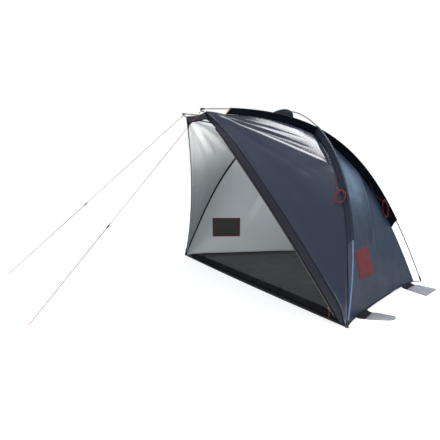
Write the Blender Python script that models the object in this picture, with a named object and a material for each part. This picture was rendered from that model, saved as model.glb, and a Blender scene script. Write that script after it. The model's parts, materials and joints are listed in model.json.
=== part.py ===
"""A beach shelter: cloth stretched over one hoop pole and two long poles, open at the front.

Frame: +X to the right as seen by someone who looks into the mouth, +Y to the back, +Z up.
The origin is on the ground, midway between the two front pole feet. Lengths are in metres.
Pieces that come in pairs are worked out on the right and mirrored to the left.
"""

import bisect
import math

import bmesh
import bpy
from mathutils import Matrix, Vector

MM = 0.001
UP = Vector((0, 0, 1))

# Poles
HALF_SPAN = 1.150
HOOP_LEAN = math.radians(17.6)
HOOP_FOOT_ANGLE = math.radians(82.7)
HOOP_FOOT_PULL = 1.051
HOOP_TOP_PULL = 0.240
TIP = Vector((0.157, -0.393, 1.272))
REAR_FOOT = Vector((0.699, 1.151, 0))
TIP_SLOPE = math.radians(1.6)
TIP_PULL = 0.928
REAR_FOOT_ANGLE = math.radians(67.6)
REAR_FOOT_PULL = 1.030
POLE_R = 4.25 * MM
FERRULE_R = 5.4 * MM
FERRULE_LENGTH = 60 * MM
FERRULE_CLEAR = 8 * MM
SEGMENT = 0.52
POLE_END = 16 * MM

# Cloth
CLOTH = 1.2 * MM
GAP = 0.4 * MM
FIN_GAP = 0.7 * MM
INSIDE = Vector((0, 0.35, 0.35))
TIP_CORNER_AT = 0.035
FIN_TIP = 16 * MM
FIN_FRONT = 38 * MM
FIN_REAR = 54 * MM
FIN_FULL_AT = 1.30
FIN_FOOT = 11 * MM
FIN_HOOP = 45 * MM
FIN_HOOP_FULL_AT = 0.40
ROOF_SAG = 16 * MM
REAR_SAG = 18 * MM
FRONT_HEM_BACK = 16 * MM
FRONT_HEM_SAG = 6 * MM
SIDE_HOLLOW = 10 * MM
FOLD_DEPTH = 4.5 * MM
FOLDS = 7
WALL_TOP_WIDTH = 14 * MM

# Pole sleeves
SLEEVE_CLOTH = 1.0 * MM
SLEEVE_BORE_R = 7.4 * MM
SLEEVE_SLIT = 0.3 * MM
LONG_SLEEVE_START = 0.200
LONG_SLEEVE_END = 1.747
LONG_SLEEVE_SLANT = 30 * MM
HOOP_SLEEVE_START = 0.495
HOOP_SLEEVE_SLANT = 12 * MM

# Mouth, its hem band and its zips
MOUTH_FOOT = Vector((1.103, -0.018, 0.017))
MOUTH_BOW = 48 * MM
MOUTH_BOW_TOWARDS = Vector((-0.43, 0.90, -0.085))
BAND_WIDTH = 60 * MM
BAND_TOP_WIDTH = 10 * MM
TOP_BAND_DEPTH = 45 * MM
TOP_BAND_CORNER = 0.130
ZIP_WIDTH = 8 * MM
ZIP_THICKNESS = 1.6 * MM
ZIP_GAP = 1.0 * MM
ZIP_TOP = 0.140
SLIDER_LENGTH = 26 * MM
SLIDER_WIDTH = 13 * MM
SLIDER_THICKNESS = 8 * MM
SLIDER_SLOT = 3.0 * MM
SLIDER_CLEAR = 0.6 * MM
EAR_THICKNESS = 1.4 * MM
SLIDER_AT = 0.088
PULL_LENGTH = 52 * MM
PULL_WIDTH = 8 * MM
PULL_THICKNESS = 2.4 * MM
PULL_PIN_R = 1.2 * MM
PULL_EYE_R = 3.2 * MM
PULL_NECK = 8 * MM

# Ground edge and floor
HEM_HEIGHT = 3 * MM
HEM_RISE = 12 * MM
HEM_BOW = 22 * MM
FLOOR_INSET = 3.0 * MM
FLOOR_FRONT = 9 * MM
FLOOR_FRONT_BOW = 26 * MM
FLOOR_STRIP = 0.025

# Roof vent
COWL_HALF_WIDTH = 0.150
COWL_START = 0.62
COWL_FRONT_SHARE = 0.70
VENT_ACROSS = (5, 7)
VENT_ALONG = (9, 11)
ROOF_CELLS = (12, 12)

# Rolled door with its ties
ROLL_HALF_LENGTH = 1.040
ROLL_DEPTH = 62 * MM
ROLL_HEIGHT = 42 * MM
ROLL_Y = 41 * MM
TIE_AT = 0.450
TIE_WIDTH = 15 * MM
TIE_THICKNESS = 1.2 * MM
TOGGLE_LENGTH = 34 * MM
TOGGLE_R = 4 * MM

# Cords, runners and where the cords go
CORD_R = 1.25 * MM
RIGHT_PEG = Vector((0.228, -1.548, 0))
LEFT_PEG = Vector((-1.185, -1.613, 0))
RIGHT_RUNNER_AT = 0.979
LEFT_RUNNER_AT = 1.052
LOOP_R = 12 * MM
STRAND_PITCH = 7 * MM
RUNNER_LENGTH = 22 * MM
RUNNER_WIDTH = 15 * MM
RUNNER_THICKNESS = 6.5 * MM
RUNNER_BORE_R = 1.75 * MM
HANK_TURNS = 3
HANK_PITCH = 3.4 * MM
HANK_CLEAR = 6 * MM
LOOP_POINTS = 24

# Small fittings
CAP_WALL = 1.6 * MM
CAP_LENGTH = 24 * MM
CAP_CLEAR = 0.3 * MM
STRAIGHT_END = 34 * MM
LUG_R = 6.5 * MM
LUG_HOLE_R = 3.0 * MM
LUG_THICKNESS = 3.0 * MM
WEB_THICKNESS = 1.2 * MM
WEB_HEIGHT = 0.3 * MM
WEB_UNDER = 2 * MM
WEB_CLEAR = 1.8 * MM

# Sand pockets, laid out flat beside the walls: where along the hem, how far the outer end
# lies along and out from there, and half the outer end's width
POCKETS = (
    ("front", 0.205, 0.045, 0.168, 0.042),
    ("rear", 0.872, -0.056, 0.196, 0.105),
)
POCKET_HALF_WIDTH = 78 * MM
POCKET_WEB = 42 * MM
POCKET_THICKNESS = 6 * MM
POCKET_WEB_THICKNESS = 1.2 * MM
POCKET_CLEAR = CLOTH - 0.2 * MM

# Grid cells of the side walls, across and up; the floor's rows match them
WALL_CELLS = (8, 10)
FLOOR_CELLS = (10, WALL_CELLS[0])

# Plain patch sewn to each side wall: its middle is near this point of the right wall
PATCH_AT = Vector((0.918, 0.352, 0.283))
PATCH_WIDTH = 0.246
PATCH_HEIGHT = 0.178
PATCH_THICKNESS = 1.0 * MM
PATCH_LIFT = 0.7 * MM

# Colours, roughness and metallic value of each material
LOOKS = {
    "pole": ((0.55, 0.62, 0.70), 0.30, 0.9),
    "ferrule": ((0.45, 0.47, 0.50), 0.35, 0.9),
    "black_plastic": ((0.02, 0.02, 0.022), 0.45, 0.0),
    "canopy": ((0.060, 0.075, 0.105), 0.55, 0.0),
    "band": ((0.040, 0.042, 0.050), 0.60, 0.0),
    "sleeve": ((0.012, 0.014, 0.017), 0.65, 0.0),
    "floor": ((0.045, 0.047, 0.050), 0.60, 0.0),
    "door": ((0.010, 0.010, 0.013), 0.60, 0.0),
    "zip": ((0.010, 0.010, 0.012), 0.50, 0.0),
    "webbing": ((0.012, 0.012, 0.014), 0.75, 0.0),
    "cord": ((0.35, 0.012, 0.020), 0.60, 0.0),
    "pull": ((0.30, 0.015, 0.020), 0.50, 0.0),
    "pocket": ((0.36, 0.36, 0.39), 0.50, 0.0),
    "patch": ((0.30, 0.030, 0.035), 0.60, 0.0),
    "mesh": ((0.015, 0.016, 0.018), 0.80, 0.0),
}


class Path:
    """A curve kept as close points and looked up by the distance along it."""

    def __init__(self, points):
        self.points = points
        self.along = [0.0]
        for a, b in zip(points, points[1:]):
            self.along.append(self.along[-1] + (b - a).length)
        self.length = self.along[-1]

    def at(self, distance):
        i = bisect.bisect_right(self.along, distance) - 1
        i = min(max(i, 0), len(self.points) - 2)
        share = (distance - self.along[i]) / (self.along[i + 1] - self.along[i])
        return self.points[i].lerp(self.points[i + 1], share)

    def heading(self, distance):
        step = self.length / len(self.points)
        return (self.at(distance + step) - self.at(distance - step)).normalized()


def bezier(p0, p1, p2, p3, count=400):
    """Points along a cubic curve."""
    points = []
    for i in range(count + 1):
        t = i / count
        k = 1 - t
        points.append(k**3 * p0 + 3 * k * k * t * p1 + 3 * k * t * t * p2 + t**3 * p3)
    return points


def root(value, low, high):
    """Where value changes sign between low and high."""
    low_is_positive = value(low) > 0
    for _ in range(48):
        middle = (low + high) / 2
        if (value(middle) > 0) == low_is_positive:
            low = middle
        else:
            high = middle
    return (low + high) / 2


def eased(value, start, end):
    """0 before start, 1 after end, and a smooth step between them."""
    share = min(max((value - start) / (end - start), 0), 1)
    return share * share * (3 - 2 * share)


def flipped(point, side):
    """A point of the right half, or its mirror image where side is -1."""
    return Vector((point.x * side, point.y, point.z))


# Long poles: each stands in an upright plane from the front tip to the rear foot
LONG_RUN = Vector((REAR_FOOT.x - TIP.x, REAR_FOOT.y - TIP.y, 0))
LONG_AHEAD = LONG_RUN.normalized()
LONG_OUT = Vector((LONG_AHEAD.y, -LONG_AHEAD.x, 0))


def long_pole():
    """The centre line of the right long pole, from its tip to its rear foot."""
    start = TIP.copy()
    end = REAR_FOOT.copy()
    near_start = start + TIP_PULL * (LONG_AHEAD * math.cos(TIP_SLOPE) + UP * math.sin(TIP_SLOPE))
    near_end = end + REAR_FOOT_PULL * (-LONG_AHEAD * math.cos(REAR_FOOT_ANGLE)
                                       + UP * math.sin(REAR_FOOT_ANGLE))
    return Path(bezier(start, near_start, near_end, end))


LONG = long_pole()

# Hoop: it stands in a plane that leans back, and its top is as high as it must be to ride
# over the sleeves of the long poles where it crosses them
HOOP_FRONT = Vector((0, -math.cos(HOOP_LEAN), math.sin(HOOP_LEAN)))
HOOP_UP = Vector((0, math.sin(HOOP_LEAN), math.cos(HOOP_LEAN)))
RIDE_OVER = SLEEVE_BORE_R + SLEEVE_CLOTH + GAP + POLE_R


def hoop_half(rise):
    """The right half of the hoop, from its foot to its top at the given rise."""
    foot = Vector((HALF_SPAN, 0, 0))
    top = HOOP_UP * rise
    near_foot = foot + HOOP_FOOT_PULL * (Vector((-math.cos(HOOP_FOOT_ANGLE), 0, 0))
                                         + HOOP_UP * math.sin(HOOP_FOOT_ANGLE))
    near_top = top + Vector((HOOP_TOP_PULL, 0, 0))
    return Path(bezier(foot, near_foot, near_top, top))


def meets_long_plane(hoop):
    """How far up the hoop it passes through the right long pole's plane."""
    return root(lambda s: (hoop.at(s) - TIP).dot(LONG_OUT), hoop.length * 0.3, hoop.length)


def straightened(path, centre, half):
    """The path with a straight stretch, as a stiff ferrule makes it."""
    start, end = path.at(centre - half), path.at(centre + half)
    before = [p for p, s in zip(path.points, path.along) if s < centre - half]
    after = [p for p, s in zip(path.points, path.along) if s > centre + half]
    return Path(before + [start, end] + after)


def ride_height(rise):
    """How far the hoop's centre line passes above the long pole's at their crossing."""
    hoop = hoop_half(rise)
    up_hoop = meets_long_plane(hoop)
    point = hoop.at(up_hoop)
    back = root(lambda s: (point - LONG.at(s)).dot(LONG.heading(s)), 0.2, LONG.length * 0.8)
    across = LONG.heading(back).cross(hoop.heading(up_hoop)).normalized()
    if across.z < 0:
        across.negate()
    return (point - LONG.at(back)).dot(across)


HOOP_RISE = root(lambda rise: ride_height(rise) - RIDE_OVER, TIP.z * 0.85, TIP.z * 1.3)
HOOP_JOINT = SEGMENT * 2.5
HOOP = straightened(hoop_half(HOOP_RISE), HOOP_JOINT, FERRULE_LENGTH * 0.7)
HOOP_CROSS = meets_long_plane(HOOP)


# Seams: the cloth hangs from fins of the sleeves, a few centimetres inside the poles
def long_inwards(s):
    """Square to the long pole in its own plane, towards the inside."""
    return LONG.heading(s).cross(LONG_OUT)


def long_fin(s):
    """How deep the fin under the long pole is."""
    front = FIN_TIP + (FIN_FRONT - FIN_TIP) * eased(s, TIP_CORNER_AT, LONG_SLEEVE_START)
    return front + (FIN_REAR - FIN_FRONT) * eased(s, LONG_SLEEVE_START, FIN_FULL_AT)


def long_seam(s):
    """The cloth's edge under the right long pole."""
    return LONG.at(s) + long_inwards(s) * long_fin(s)


LONG_CROSS = root(lambda s: long_seam(s).dot(HOOP_FRONT), 0.2, LONG.length * 0.9)
LONG_GROUND = root(lambda s: long_seam(s).z - HEM_HEIGHT, LONG_CROSS, LONG.length)
CROWN = long_seam(LONG_CROSS)


def hoop_fin(s):
    """How deep the fin inside the hoop is."""
    return FIN_FOOT + (FIN_HOOP - FIN_FOOT) * eased(s, 0, FIN_HOOP_FULL_AT)


def plain_hoop_seam(up):
    s = up * HOOP_CROSS
    return HOOP.at(s) + HOOP_FRONT.cross(HOOP.heading(s)) * hoop_fin(s)


HOOP_SEAM_MISS = CROWN - plain_hoop_seam(1)
HOOP_SEAM_DROP = HEM_HEIGHT - plain_hoop_seam(0).z


def hoop_seam(up):
    """The cloth's edge inside the right half of the hoop: 0 at the foot, 1 at the crossing."""
    return plain_hoop_seam(up) + HOOP_SEAM_MISS * up**6 + UP * HOOP_SEAM_DROP * (1 - up) ** 12


# Half the fin's thickness plus the gap between it and the panels on both sides of it
FIN_HALF = SLEEVE_SLIT + SLEEVE_CLOTH
BESIDE = FIN_HALF + FIN_GAP
WALL_BESIDE = FIN_HALF + CLOTH + GAP
MOUTH_TOP = long_seam(TIP_CORNER_AT) + Vector((-0.010, -0.008, -0.006))


class Arc:
    """A round arc between two points, bowed towards a direction."""

    def __init__(self, start, end, towards, bow):
        chord = end - start
        along = chord.normalized()
        towards = (towards - along * towards.dot(along)).normalized()
        half = chord.length / 2
        self.radius = (half**2 + bow**2) / (2 * bow)
        self.centre = (start + end) / 2 + towards * (bow - self.radius)
        self.arm = start - self.centre
        self.axis = self.arm.cross(end - self.centre).normalized()
        self.sweep = 2 * math.asin(half / self.radius)
        self.length = self.sweep * self.radius

    def at(self, share):
        return self.centre + Matrix.Rotation(self.sweep * share, 3, self.axis) @ self.arm

    def heading(self, share):
        return self.axis.cross(self.at(share) - self.centre).normalized()

    def outwards(self, share):
        return (self.at(share) - self.centre).normalized()


MOUTH = Arc(MOUTH_FOOT, MOUTH_TOP, MOUTH_BOW_TOWARDS, MOUTH_BOW)
# The zip lies across the mouth's edge, on the side of the opening
ZIP_ACROSS = MOUTH.axis if MOUTH.axis.x < 0 else -MOUTH.axis


def band_edge(up):
    """The seam between the hem band and the front panel: 0 at the foot, 1 at the tip."""
    edge = MOUTH.at(up)
    across = hoop_seam(up) - edge
    width = BAND_TOP_WIDTH + (BAND_WIDTH - BAND_TOP_WIDTH) * eased(1 - up, 0, 0.12)
    return edge + across * min(width / across.length, 0.78)


def stretched(left, right, bottom, top, corners):
    """A surface between four edges; corners are bottom left and right, top left and right."""
    low_left, low_right, high_left, high_right = corners

    def held(edge, start, end):
        """The edge, drawn to the two corners that it should end in."""
        miss_start, miss_end = start - edge(0), end - edge(1)
        return lambda t: edge(t) + miss_start * (1 - t) ** 10 + miss_end * t**10

    left, right = held(left, low_left, high_left), held(right, low_right, high_right)
    bottom, top = held(bottom, low_left, low_right), held(top, high_left, high_right)

    def place(u, v):
        sides = left(v).lerp(right(v), u)
        rungs = bottom(u).lerp(top(u), v)
        flat = low_left.lerp(low_right, u).lerp(high_left.lerp(high_right, u), v)
        return sides + rungs - flat

    return place


def normal_at(place, u, v):
    """The direction square to a surface, away from the inside of the shelter."""
    step = 0.01
    across = place(u + step, v) - place(u - step, v)
    along = place(u, v + step) - place(u, v - step)
    normal = across.cross(along).normalized()
    if normal.dot(place(u, v) - INSIDE) < 0:
        normal.negate()
    return normal


# Panels, all on the right half
def front_panel():
    """The panel between the mouth's band, the long pole and the hoop."""
    low_left = band_edge(0) + (hoop_seam(0) - band_edge(0)).normalized() * GAP
    low_right = hoop_seam(0) + HOOP_FRONT * BESIDE
    high_left = long_seam(TIP_CORNER_AT) + LONG_OUT * BESIDE
    high_right = CROWN + (LONG_OUT + HOOP_FRONT) * BESIDE

    def left(v):
        edge = band_edge(v)
        return edge + (hoop_seam(v) - edge).normalized() * GAP

    flat = stretched(
        left,
        lambda v: hoop_seam(v) + HOOP_FRONT * BESIDE,
        lambda u: low_left.lerp(low_right, u),
        lambda u: long_seam(TIP_CORNER_AT + u * (LONG_CROSS - TIP_CORNER_AT)) + LONG_OUT * BESIDE,
        (low_left, low_right, high_left, high_right),
    )
    outwards = (high_right - low_left).cross(low_right - high_left).normalized()
    if outwards.dot(high_right - INSIDE) < 0:
        outwards.negate()

    def place(u, v):
        """Folds fan out from the tip and die away towards the seams and the ground."""
        fan = math.atan2(1 - v, u + 0.05)
        fade = 16 * u * (1 - u) * v * (1 - v) * eased(v, 0.25, 0.9)
        hollow = SIDE_HOLLOW * 16 * u * (1 - u) * v * (1 - v)
        folds = FOLD_DEPTH * fade * math.sin(FOLDS * 2 * fan)
        return flat(u, v) + outwards * (folds - hollow)

    return place


def hem(share):
    """The ground edge of the right wall, from the front foot to the rear corner."""
    start = hoop_seam(0) - HOOP_FRONT * WALL_BESIDE
    end = long_seam(LONG_GROUND) + LONG_OUT * WALL_BESIDE
    outwards = (end - start).cross(UP).normalized()
    middle = 2 * share - 1
    drawn_in = outwards * HEM_BOW * (1 - middle**2)
    return start.lerp(end, share) - drawn_in + UP * HEM_RISE * (1 - middle**4)


def side_wall():
    """The panel between the hoop, the rear half of the long pole and the ground."""
    left_top = CROWN + LONG_OUT * WALL_BESIDE - HOOP_FRONT * WALL_BESIDE
    right_top = long_seam(LONG_CROSS + WALL_TOP_WIDTH) + LONG_OUT * WALL_BESIDE
    reach = LONG_GROUND - LONG_CROSS - WALL_TOP_WIDTH
    return stretched(
        lambda v: hoop_seam(v) - HOOP_FRONT * WALL_BESIDE,
        lambda v: long_seam(LONG_GROUND - v * reach) + LONG_OUT * WALL_BESIDE,
        hem,
        lambda u: left_top.lerp(right_top, u),
        (hem(0), hem(1), left_top, right_top),
    )


def roof_inner_edge(s):
    return long_seam(s) - LONG_OUT * BESIDE


def front_hem(across):
    """How far the front edge of the roof is drawn back and sags, from -1 to 1 across."""
    arch = 1 - across**2
    return Vector((0, FRONT_HEM_BACK * arch, -FRONT_HEM_SAG * arch))


def roof(u, v):
    """The roof, from the front hem to the crossings; u runs from left to right."""
    across = 2 * u - 1
    edge = roof_inner_edge(TIP_CORNER_AT + v * (LONG_CROSS - BESIDE - TIP_CORNER_AT))
    sag = ROOF_SAG * (1 - across**2) * math.sin(math.pi * v)
    return Vector((edge.x * across, edge.y, edge.z - sag)) + front_hem(across) * (1 - v) ** 3


def rear(u, v):
    """The back, from the ground up to the crossings; u runs from left to right."""
    across = 2 * u - 1
    edge = roof_inner_edge(LONG_GROUND - v * (LONG_GROUND - LONG_CROSS - BESIDE))
    inwards = long_inwards(LONG_GROUND - v * (LONG_GROUND - LONG_CROSS))
    arch = 1 - across**2
    sag = REAR_SAG * arch * math.sin(math.pi * v)
    point = Vector((edge.x * across, edge.y, edge.z)) + Vector((0, inwards.y, inwards.z)) * sag
    low = (1 - v) ** 8
    return point + Vector((0, -HEM_BOW * arch * low, HEM_RISE * (1 - across**4) * low))


def floor_place(u, v):
    """The ground sheet: flat, with a narrow strip round it that rises to meet the hems."""
    across = 2 * u - 1
    side, back = hem(v), rear(u, 0)
    deep = (side.y - hem(0).y) / (hem(1).y - hem(0).y)
    front = FLOOR_FRONT - FLOOR_FRONT_BOW * (1 - across**2)
    y = front + deep * (back.y - FLOOR_INSET - front)
    half = side.x - FLOOR_INSET
    if abs(across) == 1:
        return Vector((half * across, y, side.z - CLOTH if v > 0 else 0))
    x = (half - FLOOR_STRIP) * across / (1 - 2 / FLOOR_CELLS[0])
    return Vector((x, y, back.z - CLOTH if v == 1 else 0))


def top_band(u, v):
    """The hem band across the top of the mouth, deeper at its rounded corners."""
    across = (2 * u - 1) * 0.985
    depth = TOP_BAND_DEPTH + (TOP_BAND_CORNER - TOP_BAND_DEPTH) * abs(across) ** 7
    down = CLOTH + 2 * GAP + v * depth
    edge = MOUTH.at(1 - down / MOUTH.length)
    return Vector((edge.x * across, edge.y, edge.z)) + front_hem(across)


def side_band(u, v):
    """The hem band beside the mouth, from the mouth's edge to the front panel's seam."""
    edge = MOUTH.at(v)
    seam = band_edge(v)
    across = (seam - edge).normalized()
    return (edge + across * GAP).lerp(seam - across * GAP, u)


# Tools that build the meshes
MATERIALS = {}


def material(name):
    """The Principled material of one finish."""
    if name not in MATERIALS:
        colour, roughness, metallic = LOOKS[name]
        made = bpy.data.materials.new(name)
        made.use_nodes = True
        shader = made.node_tree.nodes["Principled BSDF"]
        shader.inputs["Base Color"].default_value = (*colour, 1)
        shader.inputs["Roughness"].default_value = roughness
        shader.inputs["Metallic"].default_value = metallic
        MATERIALS[name] = made
    return MATERIALS[name]


def finish(name, bm, look, smooth=True, origin=None):
    """An object from a bmesh, with outward faces, a material and an origin of its own."""
    origin = origin or Vector()
    bmesh.ops.translate(bm, verts=bm.verts, vec=-origin)
    bm.normal_update()
    bmesh.ops.recalc_face_normals(bm, faces=bm.faces)
    mesh = bpy.data.meshes.new(name)
    bm.to_mesh(mesh)
    bm.free()
    if smooth:
        mesh.shade_smooth()
        mesh.set_sharp_from_angle(angle=math.radians(35))
    mesh.materials.append(material(look))
    item = bpy.data.objects.new(name, mesh)
    item.location = origin
    bpy.context.scene.collection.objects.link(item)
    return item


def grid(across, along, place):
    """A grid of cells whose corners lie where place says."""
    across, along = round(across), round(along)
    bm = bmesh.new()
    bmesh.ops.create_grid(bm, x_segments=across, y_segments=along, size=0.5)
    for vert in bm.verts:
        u, v = vert.co.x + 0.5, vert.co.y + 0.5
        vert.co = place(round(u * across) / across, round(v * along) / along)
    return bm


def panel(name, across, along, place, look, cells_out=(), thickness=CLOTH, keep=None):
    """A cloth panel with its outer face on the surface and its thickness towards the inside."""
    bm = grid(across, along, lambda u, v: Vector((u, v, 0)))
    if cells_out or keep:
        inside_cut = [face for face in bm.faces if in_cells(face, across, along, cells_out or keep)]
        gone = inside_cut if cells_out else [f for f in bm.faces if f not in inside_cut]
        bmesh.ops.delete(bm, geom=gone, context="FACES")
    for vert in bm.verts:
        vert.co = place(vert.co.x, vert.co.y)
    bm.normal_update()
    bm.faces.ensure_lookup_table()
    turned = sum(face.normal.dot(face.calc_center_median() - INSIDE) for face in bm.faces)
    if turned < 0:
        bmesh.ops.reverse_faces(bm, faces=bm.faces)
    mesh = bpy.data.meshes.new(name)
    bm.to_mesh(mesh)
    bm.free()
    mesh.shade_smooth()
    mesh.materials.append(material(look))
    item = bpy.data.objects.new(name, mesh)
    bpy.context.scene.collection.objects.link(item)
    wall = item.modifiers.new("cloth", "SOLIDIFY")
    wall.thickness = thickness
    wall.offset = -1
    return item


def in_cells(face, across, along, cells):
    """Whether a face of the unit grid lies in the given span of cells each way."""
    middle = face.calc_center_median()
    (left, right), (low, high) = cells
    return left < middle.x * across < right and low < middle.y * along < high


def loft(name, outlines, look):
    """A solid through outlines of equally many points, each extruded from the one before."""
    bm = bmesh.new()
    first = ring = [bm.verts.new(point) for point in outlines[0]]
    for pair in zip(ring, ring[1:] + ring[:1]):
        bm.edges.new(pair)
    for outline in outlines[1:]:
        edges = [bm.edges.get(pair) for pair in zip(ring, ring[1:] + ring[:1])]
        grown = bmesh.ops.extrude_edge_only(bm, edges=edges)["geom"]
        fresh = {item for item in grown if isinstance(item, bmesh.types.BMVert)}
        ring = [next(edge.other_vert(vert) for edge in vert.link_edges
                     if edge.other_vert(vert) in fresh) for vert in ring]
        for vert, point in zip(ring, outline):
            vert.co = point
    for rim in (first, ring):
        for k in range(len(rim) // 2 - 1):
            bm.faces.new((rim[k], rim[k + 1], rim[-2 - k], rim[-1 - k]))
    return finish(name, bm, look)


def turned(profile, origin, axis, steps=12):
    """A solid of revolution: profile points are (radius, distance along the axis)."""
    bm = bmesh.new()
    reference = axis.orthogonal().normalized()
    verts = [bm.verts.new(origin + reference * r + axis * z) for r, z in profile]
    edges = [bm.edges.new(pair) for pair in zip(verts, verts[1:])]
    closed = profile[0][0] > 1e-9
    if closed:
        edges.append(bm.edges.new((verts[-1], verts[0])))
    bmesh.ops.spin(bm, geom=verts + edges, cent=origin, axis=axis, angle=2 * math.pi,
                   steps=steps, use_merge=True)
    bmesh.ops.remove_doubles(bm, verts=bm.verts, dist=1e-6)
    return bm


def box(centre, axes, sizes):
    """A block with the given middle, axes and full sizes."""
    bm = bmesh.new()
    bmesh.ops.create_cube(bm, size=1)
    for vert in bm.verts:
        local = vert.co.copy()
        vert.co = centre + sum((a * s * c for a, s, c in zip(axes, sizes, local)), Vector())
    return bm


def cutter(item):
    """Hides a solid that only shapes another one."""
    item.hide_render = True
    item.display_type = "WIRE"
    return item


def combine(item, other, operation):
    """Adds another solid to an item, or takes it out."""
    boolean = item.modifiers.new(other.name, "BOOLEAN")
    boolean.operation = operation
    boolean.object = cutter(other)


def cord(name, points, radius, look, sides=2, radii=None):
    """A round cord or tube through the points."""
    curve = bpy.data.curves.new(name, "CURVE")
    curve.dimensions = "3D"
    curve.bevel_depth = radius
    curve.bevel_resolution = sides
    curve.use_fill_caps = True
    spline = curve.splines.new("POLY")
    spline.points.add(len(points) - 1)
    for i, (knot, point) in enumerate(zip(spline.points, points)):
        knot.co = (*point, 1)
        knot.radius = radii[i] if radii else 1
    curve.materials.append(material(look))
    item = bpy.data.objects.new(name, curve)
    bpy.context.scene.collection.objects.link(item)
    return item


SIDES = (("right", 1), ("left", -1))


# Poles and their ends
def pole(name, path, start, end, side, ferrules, step=0.070):
    """A stretch of pole, a little thicker at each ferrule that joins two of its lengths."""
    first, last = start + STRAIGHT_END, end - STRAIGHT_END
    count = max(2, round((last - first) / step))
    stations = {first + (last - first) * i / count for i in range(count + 1)} | {start, end}
    half, edge = FERRULE_LENGTH / 2, 0.5 * MM
    stations = {s for s in stations
                if all(abs(s - f) > half + FERRULE_CLEAR for f in ferrules)}
    for f in ferrules:
        stations.update((f - half - edge, f - half, f + half, f + half + edge))
    order = sorted(stations)
    radii = [FERRULE_R / POLE_R if any(abs(s - f) < half + edge / 2 for f in ferrules) else 1
             for s in order]
    cord(name, [flipped(path.at(s), side) for s in order], POLE_R, "pole", radii=radii)


def poles():
    whole_hoop = Path(HOOP.points + [flipped(p, -1) for p in reversed(HOOP.points[:-1])])
    low, high = HOOP_JOINT - GAP / 2, HOOP_JOINT + GAP / 2
    pole("hoop_pole_top", whole_hoop, high, whole_hoop.length - high, 1, [])
    for word, side in SIDES:
        pole(f"hoop_pole_{word}", HOOP, POLE_END, low, side, [SEGMENT, SEGMENT * 1.7])
        pole(f"long_pole_{word}", LONG, 0, LONG.length - POLE_END, side,
             [SEGMENT * k for k in (1, 2, 3)])
        ferrule(f"hoop_ferrule_{word}", HOOP_JOINT, side)
        foot_cap(f"front_foot_cap_{word}", HOOP, POLE_END, STRAIGHT_END, side)
        foot_cap(f"rear_foot_cap_{word}", LONG, LONG.length - POLE_END, -STRAIGHT_END, side)


def ferrule(name, s, side):
    """The metal tube that joins two lengths of the hoop."""
    bore, outer = POLE_R + CAP_CLEAR, POLE_R + CAP_CLEAR + 0.9 * MM
    half = FERRULE_LENGTH / 2
    centre, axis = flipped(HOOP.at(s), side), flipped(HOOP.heading(s), side)
    bm = turned([(bore, -half), (outer, -half), (outer, half), (bore, half)], centre, axis)
    finish(name, bm, "ferrule")


def cap_profile(bore, nose):
    """A cap that holds a pole's end: open at the top, with a rounded nose below."""
    outer = bore + CAP_WALL
    return [(0, -CAP_CLEAR), (bore, -CAP_CLEAR), (bore, CAP_LENGTH), (outer, CAP_LENGTH),
            (outer, -nose * 0.4), (outer * 0.72, -nose * 0.85), (0, -nose)]


def foot_cap(name, path, s, ahead, side):
    """The rounded cap on a pole's foot, which stands on the ground."""
    point = path.at(s)
    up = (path.at(s + ahead) - point).normalized()
    nose = point.z / up.z
    bm = turned(cap_profile(POLE_R + CAP_CLEAR, nose), flipped(point, side), flipped(up, side))
    finish(name, bm, "black_plastic")


def tip_caps():
    """The caps on the front tips, each with an eye that takes the guy line and the webbing."""
    for word, side in SIDES:
        point = flipped(LONG.at(0), side)
        back = (flipped(LONG.at(STRAIGHT_END), side) - point).normalized()
        cap = finish(f"tip_cap_{word}",
                     turned(cap_profile(POLE_R + CAP_CLEAR, 6 * MM), point, back), "black_plastic")
        eye_centre = flipped(EYE, side)
        half = LUG_THICKNESS / 2
        ring = [(LUG_HOLE_R, -half), (LUG_R, -half), (LUG_R, half), (LUG_HOLE_R, half)]
        strap = flipped(MOUTH_TOP, side) - eye_centre
        axis = guy_heading(word).cross(strap).normalized()
        eye = finish(f"tip_eye_{word}", turned(ring, eye_centre, axis), "black_plastic")
        combine(cap, eye, "UNION")


EYE = LONG.at(2 * MM) - UP * (POLE_R + CAP_CLEAR + CAP_WALL + LUG_R * 0.72)


GUYS = {"right": (1, RIGHT_PEG, RIGHT_RUNNER_AT), "left": (-1, LEFT_PEG, LEFT_RUNNER_AT)}


def guy_heading(word):
    """The way a front guy line runs from its eye to the ground."""
    side, peg, _ = GUYS[word]
    return (peg + UP * CORD_R - flipped(EYE, side)).normalized()


def corner_webs():
    """Webbing from each lower corner of the cloth to an eyelet round the pole's foot cap."""
    for word, side in SIDES:
        eyelet_web(f"front_corner_web_{word}", HOOP.at(POLE_END), hoop_seam(0), side)
        eyelet_web(f"rear_corner_web_{word}", LONG.at(LONG.length - POLE_END),
                   long_seam(LONG_GROUND), side)
        tip_web(f"tip_web_{word}", side)


def eyelet_web(name, foot, corner, side):
    """A flat strap with a round eyelet that the foot cap stands in."""
    centre = Vector((foot.x, foot.y, WEB_HEIGHT))
    towards = Vector((corner.x - foot.x, corner.y - foot.y, 0))
    reach = towards.length
    towards.normalize()
    sideways = UP.cross(towards)
    hole = POLE_R + CAP_CLEAR + CAP_WALL + WEB_CLEAR
    outer = hole + 2.5 * MM
    end = reach + WEB_UNDER
    steps = 20
    section = ((hole, 0), (outer, 0), (outer, WEB_THICKNESS), (hole, WEB_THICKNESS))

    def place(u, v):
        angle = 2 * math.pi * u
        radius, height = section[round(v * 4) % 4]
        point = Vector((math.cos(angle) * radius, math.sin(angle) * radius, height))
        if radius == outer and math.cos(angle) > 0.75:
            point.x = end
            point.y = math.sin(angle) / math.sin(math.acos(0.75)) * outer * 0.8
        spot = centre + towards * point.x + sideways * point.y + UP * point.z
        return flipped(spot, side)

    bm = grid(steps, 4, place)
    bmesh.ops.remove_doubles(bm, verts=bm.verts, dist=1e-6)
    finish(name, bm, "webbing")


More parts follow.
